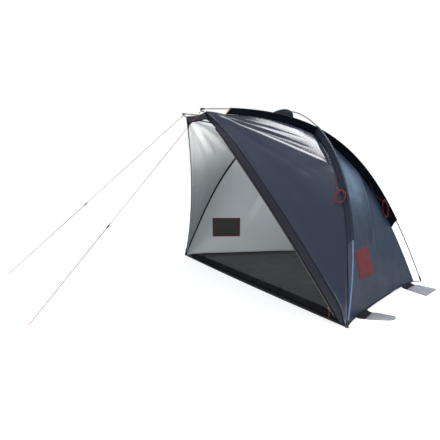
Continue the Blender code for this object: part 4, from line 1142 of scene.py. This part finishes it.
def hood_fold(spots, edge):
    """A slack hood, lower over its middle than its plain frame."""
    slack = drape(spots[:, 0], spots[:, 1], 1 * MM, 1.3)
    return slack - HOOD_SAG * smooth(edge, 20 * MM, 120 * MM)


print("the hood sags", round(HOOD_SAG / MM), "mm")

# %% [markdown]
# ## Canopy
# Six panels make the canopy: two awning panels, two side walls, the roof and the rear
# panel. They could be one mesh with seams drawn on it. Real panels are cut apart and
# sewn, and each is pulled its own way, so each is a cloth of its own. Each one's area is
# printed.

# %% Awning panels and side walls
COATED = ("canopy_outside", "canopy_inside")
FOLDS = {"right": NEAR_FOLDS, "left": FAR_FOLDS}
WALLS = {}
for word, side in SIDES:
    cloth(f"front_panel_{word}", 4, COATED, awning_fold(side, FOLDS[word]))
    WALLS[word] = cloth(
        f"side_wall_{word}", 4, ("canopy_wall", "canopy_inside"), wall_fold(side))

# %% Roof and rear panel
cloth("roof_panel", 3, COATED, plain_fold(1.5 * MM, 0.4))
cloth("rear_panel", 4, ("canopy_back", "canopy_inside"), plain_fold(2 * MM, 2.2, (0, 2)))

# %% [markdown]
# ### Inner seams
# Inside, a dark tape covers each joint between two panels, and these tapes draw the
# lines that one sees through the mouth. Their black is partly painted shadow: it stands
# for the sleeves' shadows seen through the thin cloth. A texture could draw them, but
# only a real strip also closes the hairline gap between two cloths.

# %% Seams between the panels
# Each black inner tape is partly painted shadow of the sleeves outside the cloth.
for word, _ in SIDES:
    seam_tape(f"front_panel_{word}", f"side_wall_{word}")
    seam_tape(f"front_panel_{word}", "roof_panel")
    seam_tape(f"side_wall_{word}", "rear_panel")
seam_tape("roof_panel", "rear_panel")

# %% [markdown]
# ### Hems, floor and hood
# A folded hem runs along the mouth on both sides and at the top. The floor is a sheet of
# its own, laid on the ground, and over the vent a slack hood is stretched from the bare
# hoop to the roof. They're made as the panels are, from other cloths. The floor and the
# hood look away from other points than the walls do, so each names its own.

# %% Hems
TOP_INSIDE = Vector((0, 0.3, 0.6))
for word, _ in SIDES:
    cloth(f"side_band_{word}", 3, ("hem", "canopy_inside"))
cloth("top_band", 3, ("hem", "hem"), away=TOP_INSIDE)

# %% Floor and hood
FLOOR_BELOW = Vector((0, 0.5, -1))
HOOD_BELOW = Vector((0, 0.35, 1.15))
cloth("floor_sheet", 3, ("floor", "floor"), plain_fold(0.2 * MM, 3.1),
      away=FLOOR_BELOW)
cloth("vent_cowl", 3, ("hood", "hood"), hood_fold, away=HOOD_BELOW)

# %% [markdown]
# ### Outer seams and bound edges
# Outside, a thin line of tape lies over the seams at the hem and the roof, and a tape is
# folded round each edge that no other panel meets. A bevel would round the cloth's edge,
# but a real tape also makes it thicker. So the free edge points of a cloth carry a
# narrow strip of another cloth, thicker than the first and centred on it.

# %% Outer seams and bound edges
BINDING_THICKNESS = 1.3 * MM
BINDING_STEP = 8 * MM
BINDING_OVERHANG = 1 * MM


def edge_binding(node, others, width, look, reach=14 * MM):
    """A tape folded round the free edge of a cloth."""
    tree = nearest_places([spot for other in others for spot, _, _ in BORDERS[other]])
    free = [row for row in BORDERS[node] if tree.find(row[0])[2] > reach]
    rows = []
    last = None
    for i in order_along([row[0] for row in free]):
        spot, normal, inward = free[i]
        if last is None or (spot - last).length > BINDING_STEP:
            middle = spot - normal * CLOTH_THICKNESS / 2
            rows.append((middle - inward * BINDING_OVERHANG, middle + inward * width))
            last = spot
    ribbon(f"binding_{node}", rows, look, BINDING_THICKNESS, 0)


for word, _ in SIDES:
    seam_tape(f"side_band_{word}", f"front_panel_{word}", 4.2 * MM, -0.6 * MM, "seam")
    edge_binding(f"side_band_{word}", [f"front_panel_{word}"], 6 * MM, "webbing")
    edge_binding(f"side_wall_{word}", [f"front_panel_{word}", "rear_panel", "roof_panel"],
                 5 * MM, "seam", 30 * MM)
edge_binding("top_band", ["roof_panel"], 7 * MM, "webbing")
seam_tape("roof_panel", "rear_panel", 6 * MM, -0.8 * MM, "seam")

# %% [markdown]
# ## Sleeves, bags and the rolled door
# The poles run through tubes of cloth sewn to the canopy's seams. Bags for sand hang on
# the walls' lower edges, webs hold the pole feet, and the door lies rolled up on the
# threshold. All are closed shapes in the frame, and could stay as they are, but their
# facets would show. They're made finer, and a bag gets black webbing near its hinge,
# which is where the real one is sewn on.

# %% Cuts of the sleeves and bags
# For each: its flat length and width, and its area.
SLEEVE_CUTS = {"long": ((1.56, 0.125), 0.192), "hoop": ((1.01, 0.115), 0.113)}
SLEEVE_LOOKS = {"long": "sleeve", "hoop": "hoop_sleeve"}
BAG_CUTS = {"front": ((0.23, 0.15), 0.0214), "rear": ((0.305, 0.225), 0.0374)}
BAG_ROOT = 42 * MM
HINGES = {joint["child"]: joint for joint in frame["record"]["behaviour"]["joints"]}


def bag_root(name):
    """Where a bag's black cloth ends, measured from its hinge."""
    hinge = HINGES[name]
    return Vector(hinge["pos_m"]), Vector(hinge["axis"]), BAG_ROOT, "webbing"


print("black webbing on a bag reaches", round(BAG_ROOT / MM), "mm")

# %% Sleeves, webs, bags and the rolled door
for word, _ in SIDES:
    for kind, (flat, area) in SLEEVE_CUTS.items():
        solid(f"{kind}_sleeve_{word}", 2, SLEEVE_LOOKS[kind])
    for kind, (flat, area) in BAG_CUTS.items():
        solid(f"{kind}_corner_web_{word}", 1, "webbing")
        bag = f"sand_pocket_{kind}_{word}"
        solid(bag, 3, "pocket", body=bag, root=bag_root(bag))
    solid(f"tip_web_{word}", 2, "webbing")
    solid(f"roll_tie_{word}", 1, "webbing")
solid("door_roll", 3, "door")

# %% [markdown]
# ### Trims on the sleeve ends
# Each end of a long sleeve is edged with an ochre tape, a small warm line in the
# photograph. It could be a second material on the sleeve, but it stands proud of the
# cloth. The sleeve's end face gives its own outline, edge by edge, and a thin tube is
# laid along the longest such outline.

# %% Trims on the sleeve ends
TRIM_R = 2.6 * MM
END_FACING = 0.35
FRONT_REACH, REAR_REACH = 50 * MM, 60 * MM


def outlines(edges):
    """Edges joined end to end into lines of points."""
    runs = []
    while edges:
        run = list(edges.pop().verts)
        while True:
            step = next((e for e in edges if run[-1] in e.verts), None)
            if step is None:
                break
            edges.remove(step)
            run.append(step.other_vert(run[-1]))
        runs.append([v.co.copy() for v in run])
    return runs


def end_trim(node, name, ahead, at_end):
    """A coloured edging round the open end of a sleeve."""
    bm = welded(node)
    ahead = Vector(ahead).normalized()
    ends = {f for f in bm.faces
            if f.normal.dot(ahead) > END_FACING and at_end(f.calc_center_median())}
    rim = [e for e in bm.edges if sum(f in ends for f in e.link_faces) == 1]
    longest = max(outlines(rim), key=length_of)
    bm.free()
    piece = tube(name, longest, TRIM_R, LOOKS["trim"], sides=2)
    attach(piece, "shelter")
    print(name, "length", round(length_of(longest), 3))


for word, side in SIDES:
    sleeve = f"long_sleeve_{word}"
    low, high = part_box(sleeve)
    end_trim(sleeve, f"trim_front_{word}", (-0.15 * side, -0.98, 0.05),
             lambda spot: spot.y < low[1] + FRONT_REACH)
    end_trim(sleeve, f"trim_rear_{word}", (0.1 * side, 0.35, -0.93),
             lambda spot: spot.z < low[2] + REAR_REACH)

# %% [markdown]
# ## Rigid pieces
# Poles, caps, runners, toggles and zip sliders are hard. They could be modelled again
# with bevels, but their CAD shapes are true already, and what they lack is a surface.
# Each gets the finish of its own making: fibres drawn along a pole, brushing on a metal
# tube, or the fine dull grain that a mould leaves on nylon.

# %% Fibreglass and steel
# A rod's streaks and a tube's brush marks are finer than this, and drawn coarse to show.
FIBRE_GRAIN = (2.5 * MM, 2.5 * MM, 33.33 * MM)
FIBRE_RELIEF = 0.04 * MM
BRUSH_MARKS = (0.4 * MM, 0.4 * MM, 16.67 * MM)
BRUSH_RELIEF = 0.02 * MM
SMEAR_SIZE = 16.67 * MM


def streaks(tree, sizes):
    """A noise stretched along a pole: its feature sizes along the three axes."""
    spot = add_node(tree, "TexCoord", out="Object")
    drawn = add_node(tree, "Mapping", {"Vector": spot, "Scale": [1 / size for size in sizes]})
    return add_node(tree, "TexNoise", {"Vector": drawn, "Scale": 1})


def fibreglass(name, colour, roughness, *factors, relief=None):
    """Pultruded fibreglass: glossy resin over fibres that streak its colour lengthways."""
    material, tree = start_material(name, colour, roughness, Specular_IOR_Level=0.4)
    dark, light = shades(colour, *factors)
    grain = streaks(tree, FIBRE_GRAIN)
    shade = add_node(tree, "Mix", {0: grain, 6: dark, 7: light}, out=2, data_type="RGBA")
    feed(tree, Base_Color=shade)
    if relief:
        feed(tree, Normal=add_node(tree, "Bump", {"Height": grain, "Distance": relief}))
    return material


def brushed_steel():
    """Brushed steel tube: a soft metal gleam, drawn out along the tube."""
    material, tree = start_material("brushed_steel", "#b9bdc2", 0.32, Metallic=1.0)
    marks = streaks(tree, BRUSH_MARKS)
    relief = add_node(tree, "Bump", {"Height": marks, "Distance": BRUSH_RELIEF})
    spot = add_node(tree, "TexCoord", out="Object")
    smears = add_node(tree, "TexNoise", {"Vector": spot, "Scale": 1 / SMEAR_SIZE, "Detail": 3})
    gloss = add_node(tree, "MapRange", {"Value": smears, "From Min": NOISE_LOW,
                                        "From Max": NOISE_HIGH, "To Min": 0.26,
                                        "To Max": 0.4})
    feed(tree, Roughness=gloss, Normal=relief)
    return material


print("fibre streaks", round(FIBRE_GRAIN[2] / MM), "mm long")

# %% Moulded nylon and zip coil
# A mould's grain is about 0.1 mm, and a zip's teeth lie 1.5 mm apart. Both are too fine
# to show, so the grain is drawn at 0.56 mm and the teeth at 8.8 mm.
MOULD_GRAIN = 0.5556 * MM
MOULD_RELIEF = 0.05 * MM
MOULD_PATCH = 40 * MM
TOOTH_PITCH = 8.796 * MM
TOOTH_RELIEF = 0.4 * MM


def moulded(name, colour, roughness):
    """Moulded or cast: a fine dull grain, and a colour that is nearly even."""
    material, tree = start_material(name, colour, roughness)
    dark, light = shades(colour, 0.92, 1.06)
    spot = add_node(tree, "TexCoord", out="Object")
    grain = add_node(tree, "TexNoise", {"Vector": spot, "Scale": 1 / MOULD_GRAIN})
    relief = add_node(tree, "Bump", {"Height": grain, "Distance": MOULD_RELIEF})
    patchy = add_node(tree, "TexNoise", {"Vector": spot, "Scale": 1 / MOULD_PATCH})
    shade = add_node(tree, "Mix", {0: patchy, 6: dark, 7: light}, out=2, data_type="RGBA")
    feed(tree, Base_Color=shade, Normal=relief)
    return material


def zip_coil():
    """A nylon coil zip: raised teeth, a painted highlight on each, painted shade between."""
    material, tree = start_material("nylon_zip_coil", "#141417", 0.4)
    dark, light = shades("#141417", 0.6, 1.5)
    flat = add_node(tree, "TexCoord", out="UV")
    teeth = add_node(tree, "TexWave", {"Vector": flat, "Scale": band_scale(TOOTH_PITCH)},
                     out="Fac", wave_type="BANDS", bands_direction="X")
    relief = add_node(tree, "Bump", {"Height": teeth, "Distance": TOOTH_RELIEF})
    # Painted highlight on each tooth and painted shade between the teeth.
    shade = add_node(tree, "Mix", {0: teeth, 6: dark, 7: light}, out=2, data_type="RGBA")
    feed(tree, Base_Color=shade, Normal=relief)
    return material


print("zip teeth", round(TOOTH_PITCH / MM, 1), "mm apart")

# %% Dress the rigid pieces
HARD = {
    # The hoop's rod: pale blue streaks, partly its own, partly painted sky reflection.
    "pole": fibreglass("pultruded_fibreglass_blue_painted_sky", "#7188b2", 0.3, 0.9, 1.06,
                       relief=FIBRE_RELIEF),
    # Ferrules of steel: the only mirror-like spots on the frame.
    "ferrule": brushed_steel(),
    # Caps, runners and toggles of nylon: black, with a soft highlight.
    "black_plastic": moulded("moulded_nylon_black", "#151618", 0.45),
    # The zips' pulls, moulded in a dark red that answers the cords.
    "pull": moulded("moulded_nylon_red", "#6a1118", 0.4),
    # Cast zinc sliders with black paint: harder and glossier than the nylon.
    "zip": moulded("painted_zinc_black", "#1b1b1e", 0.3),
}
# The long rods and the hoop's top are plain grey, without the painted sky reflection.
PLAIN_GREY_ROD = fibreglass("pultruded_fibreglass_grey", "#8c8f8c", 0.35, 0.85, 1.08)
SLOT_OF = {part["node"]: part["material_slot"] for part in frame["record"]["subparts"]}
for name, node in NODES.items():
    if SLOT_OF[name] in HARD:
        node.data.materials.clear()
        plain_grey = name.startswith("long_pole") or name == "hoop_pole_top"
        node.data.materials.append(PLAIN_GREY_ROD if plain_grey else HARD[SLOT_OF[name]])
print("rigid materials", len(HARD) + 1)

# %% [markdown]
# ### Zip tracks
# A zip's track is a tape with a coil of teeth along the mouth's edge. Teeth could be
# modelled one by one, but there are about a thousand on each side, each a millimetre
# wide. A wave pattern across the track's smooth strip raises the teeth, and paints a
# highlight on each tooth and shade between them.

# %% Zip tracks
LOOKS["zip"] = zip_coil()
for word, _ in SIDES:
    solid(f"zip_track_{word}", 2, "zip")

# %% [markdown]
# ## Patches
# A plain red patch is sewn on each side wall, and through the mouth its shadow can be
# seen on the inside of the thin wall. A patch could be painted on the wall's material,
# but a sewn one has an edge and a thickness. So the frame's patch is made finer, and each
# of its points is dropped on the folded wall along a ray. The shadow is painted: the same
# patch, a little larger, dark with a red rim, dropped on the wall's inner face.

# %% The patch's painted shadow
# The width of the red rim round the patch's painted shadow.
PATCH_SHADOW_RIM = (9 * MM, 11 * MM)


def painted_patch_shadow():
    """Painted shadow of a patch, seen through the wall: a red rim round a dull brown middle."""
    material, tree = start_material("patch_shadow_painted", "#3b3637", 0.6)
    edge = add_node(tree, "Attribute", out="Fac", attribute_name="edge")
    hem = add_node(tree, "MapRange", {"Value": edge, "From Min": PATCH_SHADOW_RIM[0],
                                      "From Max": PATCH_SHADOW_RIM[1]})
    shade = add_node(tree, "Mix", {0: hem, 6: linear("#64191f"), 7: linear("#3b3637")}, out=2,
                     data_type="RGBA")
    relief = add_node(tree, "Bump", {"Height": threads(tree), "Distance": THREAD_RELIEF})
    feed(tree, Base_Color=shade, Normal=relief)
    return material


# The painted shadow of each patch, as seen on the wall's inner face.
PATCH_SHADOW = painted_patch_shadow()
print("backing hem", round(PATCH_SHADOW_RIM[1] / MM), "mm wide")

# %% Patches laid on the walls
# The painted shadow is this much larger than its patch.
PATCH_SHADOW_GROWTH = 1.1
PATCH_THICKNESS = 0.4 * MM
PATCH_GAP = 0.7 * MM
RAY_START = 30 * MM


def laid_on(wall, mesh, inwards):
    """Moves a patch's points onto the outer or the inner face of a folded wall."""
    tree = BVHTree.FromObject(wall, bpy.context.evaluated_depsgraph_get())
    spots = coordinates(mesh)
    # On the inner face the patch becomes its painted shadow, a little larger.
    if inwards:
        spots = spots.mean(0) + (spots - spots.mean(0)) * PATCH_SHADOW_GROWTH
    facing = normals(mesh) * (-1 if inwards else 1)
    for i, spot in enumerate(spots):
        start = Vector(spot + facing[i] * RAY_START)
        hit, normal, _, _ = tree.ray_cast(start, -Vector(facing[i]))
        if hit:
            spots[i] = hit + normal * PATCH_GAP
    mesh.vertices.foreach_set("co", spots.ravel())
    mesh.update()


def patch(word, inwards):
    """A patch on the folded wall: the sewn one outside, its painted shadow on the inner face.
    """
    mesh = finer(outer_sheet(f"wall_patch_{word}"), 4)
    mark_edges(mesh)
    laid_on(WALLS[word], mesh, inwards)
    lay_uv(mesh)
    mesh.materials.append(PATCH_SHADOW if inwards else LOOKS["patch"])
    mesh.shade_smooth()
    piece = add_object(f"patch_{'in' if inwards else 'out'}_{word}", mesh)
    shell = piece.modifiers.new("shell", "SOLIDIFY")
    shell.thickness = PATCH_THICKNESS
    shell.offset = 0
    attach(piece, "shelter")
    if not inwards:
        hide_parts(f"wall_patch_{word}")
    print(piece.name, "faces", len(mesh.polygons))


for word, _ in SIDES:
    patch(word, False)
    # The inner one is the patch's painted shadow.
    patch(word, True)

# %% [markdown]
# ## The vent's net
# Under the hood a net lets air out and keeps insects from coming in. An image with
# holes would show flat from the side, so the net is made of thread: the frame's small
# sheet is made finer, and a Wireframe modifier turns each of its edges into a thin bar.

# %% Net
NET_INSIDE = Vector((0, 0.3, 0))
NET_THREAD = 0.7 * MM


def net():
    """The net in the vent, thread by thread."""
    mesh = finer(outer_sheet("vent_mesh", NET_INSIDE), 5)
    # Knitted nylon thread, black and dull, which all but vanishes against the dark.
    mesh.materials.append(moulded("nylon_net_black", "#141518", 0.6))
    piece = add_object("net_vent", mesh)
    wires = piece.modifiers.new("wires", "WIREFRAME")
    wires.thickness = NET_THREAD
    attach(piece, "shelter")
    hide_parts("vent_mesh")
    print("net faces", len(mesh.polygons))


net()

# %% [markdown]
# ## Studio floor
# The photograph is a catalogue picture on plain white. A white floor lit hard enough
# would bleach the shelter as well. Instead the camera sees the floor's own glow added to
# its shade, which comes out white and still keeps the shelter's soft shadow, while every
# other ray meets a plain grey floor.

# %% Studio floor
FLOOR_SIZE = 60
FLOOR_LEVEL = -0.8 * MM
FLOOR_GLOW = 0.7


def stage_material():
    """A pale matt floor that shows near white, with the object's soft shadow on it."""
    material, tree = start_material("matt_studio_floor", "#b9babc", 0.95,
                                    Specular_IOR_Level=0.0)
    matt = add_node(tree, "BsdfDiffuse", {"Color": linear("#bcbcbc")})
    glow = add_node(tree, "Emission", {"Strength": FLOOR_GLOW})
    seen = add_node(tree, "AddShader", {0: matt, 1: glow})
    from_camera = add_node(tree, "LightPath", out="Is Camera Ray")
    plain = tree.nodes["Principled BSDF"].outputs[0]
    both = add_node(tree, "MixShader", {0: from_camera, 1: plain, 2: seen})
    tree.links.new(both, tree.nodes["Material Output"].inputs["Surface"])
    return material


bpy.ops.mesh.primitive_plane_add(size=FLOOR_SIZE, location=(0, 0, FLOOR_LEVEL))
floor = bpy.context.object
floor.name = "studio_floor"
floor.data.materials.append(stage_material())
print("floor", FLOOR_SIZE, "m wide")

# %% [markdown]
# ## Lamps
# A large soft box over and behind the shelter gives the awning its gleam, and a second
# one fills the front. Two small warm ones stand for light that comes back from the
# ground, and a cool one behind gives the walls their blue sheen. One sun could light it
# all, but coated cloth shows the shape of its lamps, and only wide boxes look soft on it.


# %% Lamps
def softbox(name, at, aim, size, watts, colour="#ffffff", spread=180):
    """A rectangular lamp at one place that looks at another."""
    lamp = bpy.data.lights.new(name, "AREA")
    lamp.spread = math.radians(spread)
    lamp.color = linear(colour)[:3]
    lamp.shape = "RECTANGLE"
    lamp.size, lamp.size_y = size
    lamp.energy = watts
    made = add_object(name, lamp)
    made.location = at
    made.rotation_euler = (Vector(aim) - Vector(at)).to_track_quat("-Z", "Y").to_euler()
    print(name, watts, "W")


softbox("top_box", (0.22, 1.70, 4.2), (0.22, 1.70, 0), (1.86, 2.2), 152)
softbox("front_fill", (0.9, -4.1, 1.35), (-0.4, 0.5, 0.6), (2.0, 1.5), 78)
softbox("ground_bounce", (1.2, -1.6, 0.12), (-0.35, -0.15, 1.1), (0.9, 0.4), 14, "#fffcf3")
softbox("tip_bounce", (0.75, -1.05, 0.25), (-0.26, -0.24, 1.15), (0.3, 0.3), 1.3, "#fffaf1", 36)
softbox("back_box", (-0.6, 4.8, 1.9), (0.8, 0.4, 0.7), (0.9, 1.4), 14, "#bce2ff")

# %% [markdown]
# ## World
# Round the lamps lies a soft sky, dimmer near the horizon and behind the camera, so that
# dark cloth has something to reflect. An image of a studio would do the same, but two
# ramps are enough. The camera, and what is seen through cloth, shows plain white, and
# glossy rays see a little of it.

# %% World
HORIZON_SKY, HIGH_SKY = linear("#95a0ae"), linear("#f9fcff")
WHITE = linear("#ffffff")
SKY_RISE = 1.5
GLOSSY_SHARE = 0.15
world = bpy.data.worlds.new("studio")
bpy.context.scene.world = world
world.use_nodes = True
sky = world.node_tree
spot = add_node(sky, "TexCoord")
height = add_node(sky, "SeparateXYZ", {0: spot}, out=2)
depth = add_node(sky, "SeparateXYZ", {0: spot}, out=1)
rise = add_node(sky, "MapRange", {"Value": height, "From Min": -0.05, "From Max": 1.0})
rise = add_node(sky, "Math", {0: rise, 1: SKY_RISE}, operation="POWER")
soft = add_node(sky, "Mix", {0: rise, 6: HORIZON_SKY, 7: HIGH_SKY}, out=2, data_type="RGBA")
back = add_node(sky, "MapRange", {"Value": depth, "From Min": -0.75, "From Max": 0.1,
                                  "To Min": 0.45, "To Max": 1.15})
soft = add_node(sky, "Mix", {0: 1.0, 6: soft, 7: back}, out=2, data_type="RGBA",
                blend_type="MULTIPLY")
print("sky nodes", len(sky.nodes))

# %% What the camera sees of the world
rays = [add_node(sky, "LightPath", out=f"Is {kind} Ray")
        for kind in ("Camera", "Transmission", "Glossy")]
seen = add_node(sky, "Math", {0: rays[0], 1: rays[1]}, operation="MAXIMUM")
glossy = add_node(sky, "Math", {0: rays[2], 1: GLOSSY_SHARE}, operation="MULTIPLY")
shown = add_node(sky, "Math", {0: seen, 1: glossy}, operation="MAXIMUM")
both = add_node(sky, "Mix", {0: shown, 6: soft, 7: WHITE}, out=2, data_type="RGBA")
sky.links.new(both, sky.nodes["Background"].inputs["Color"])
bpy.context.scene.view_settings.view_transform = "Standard"
print("stage ready")
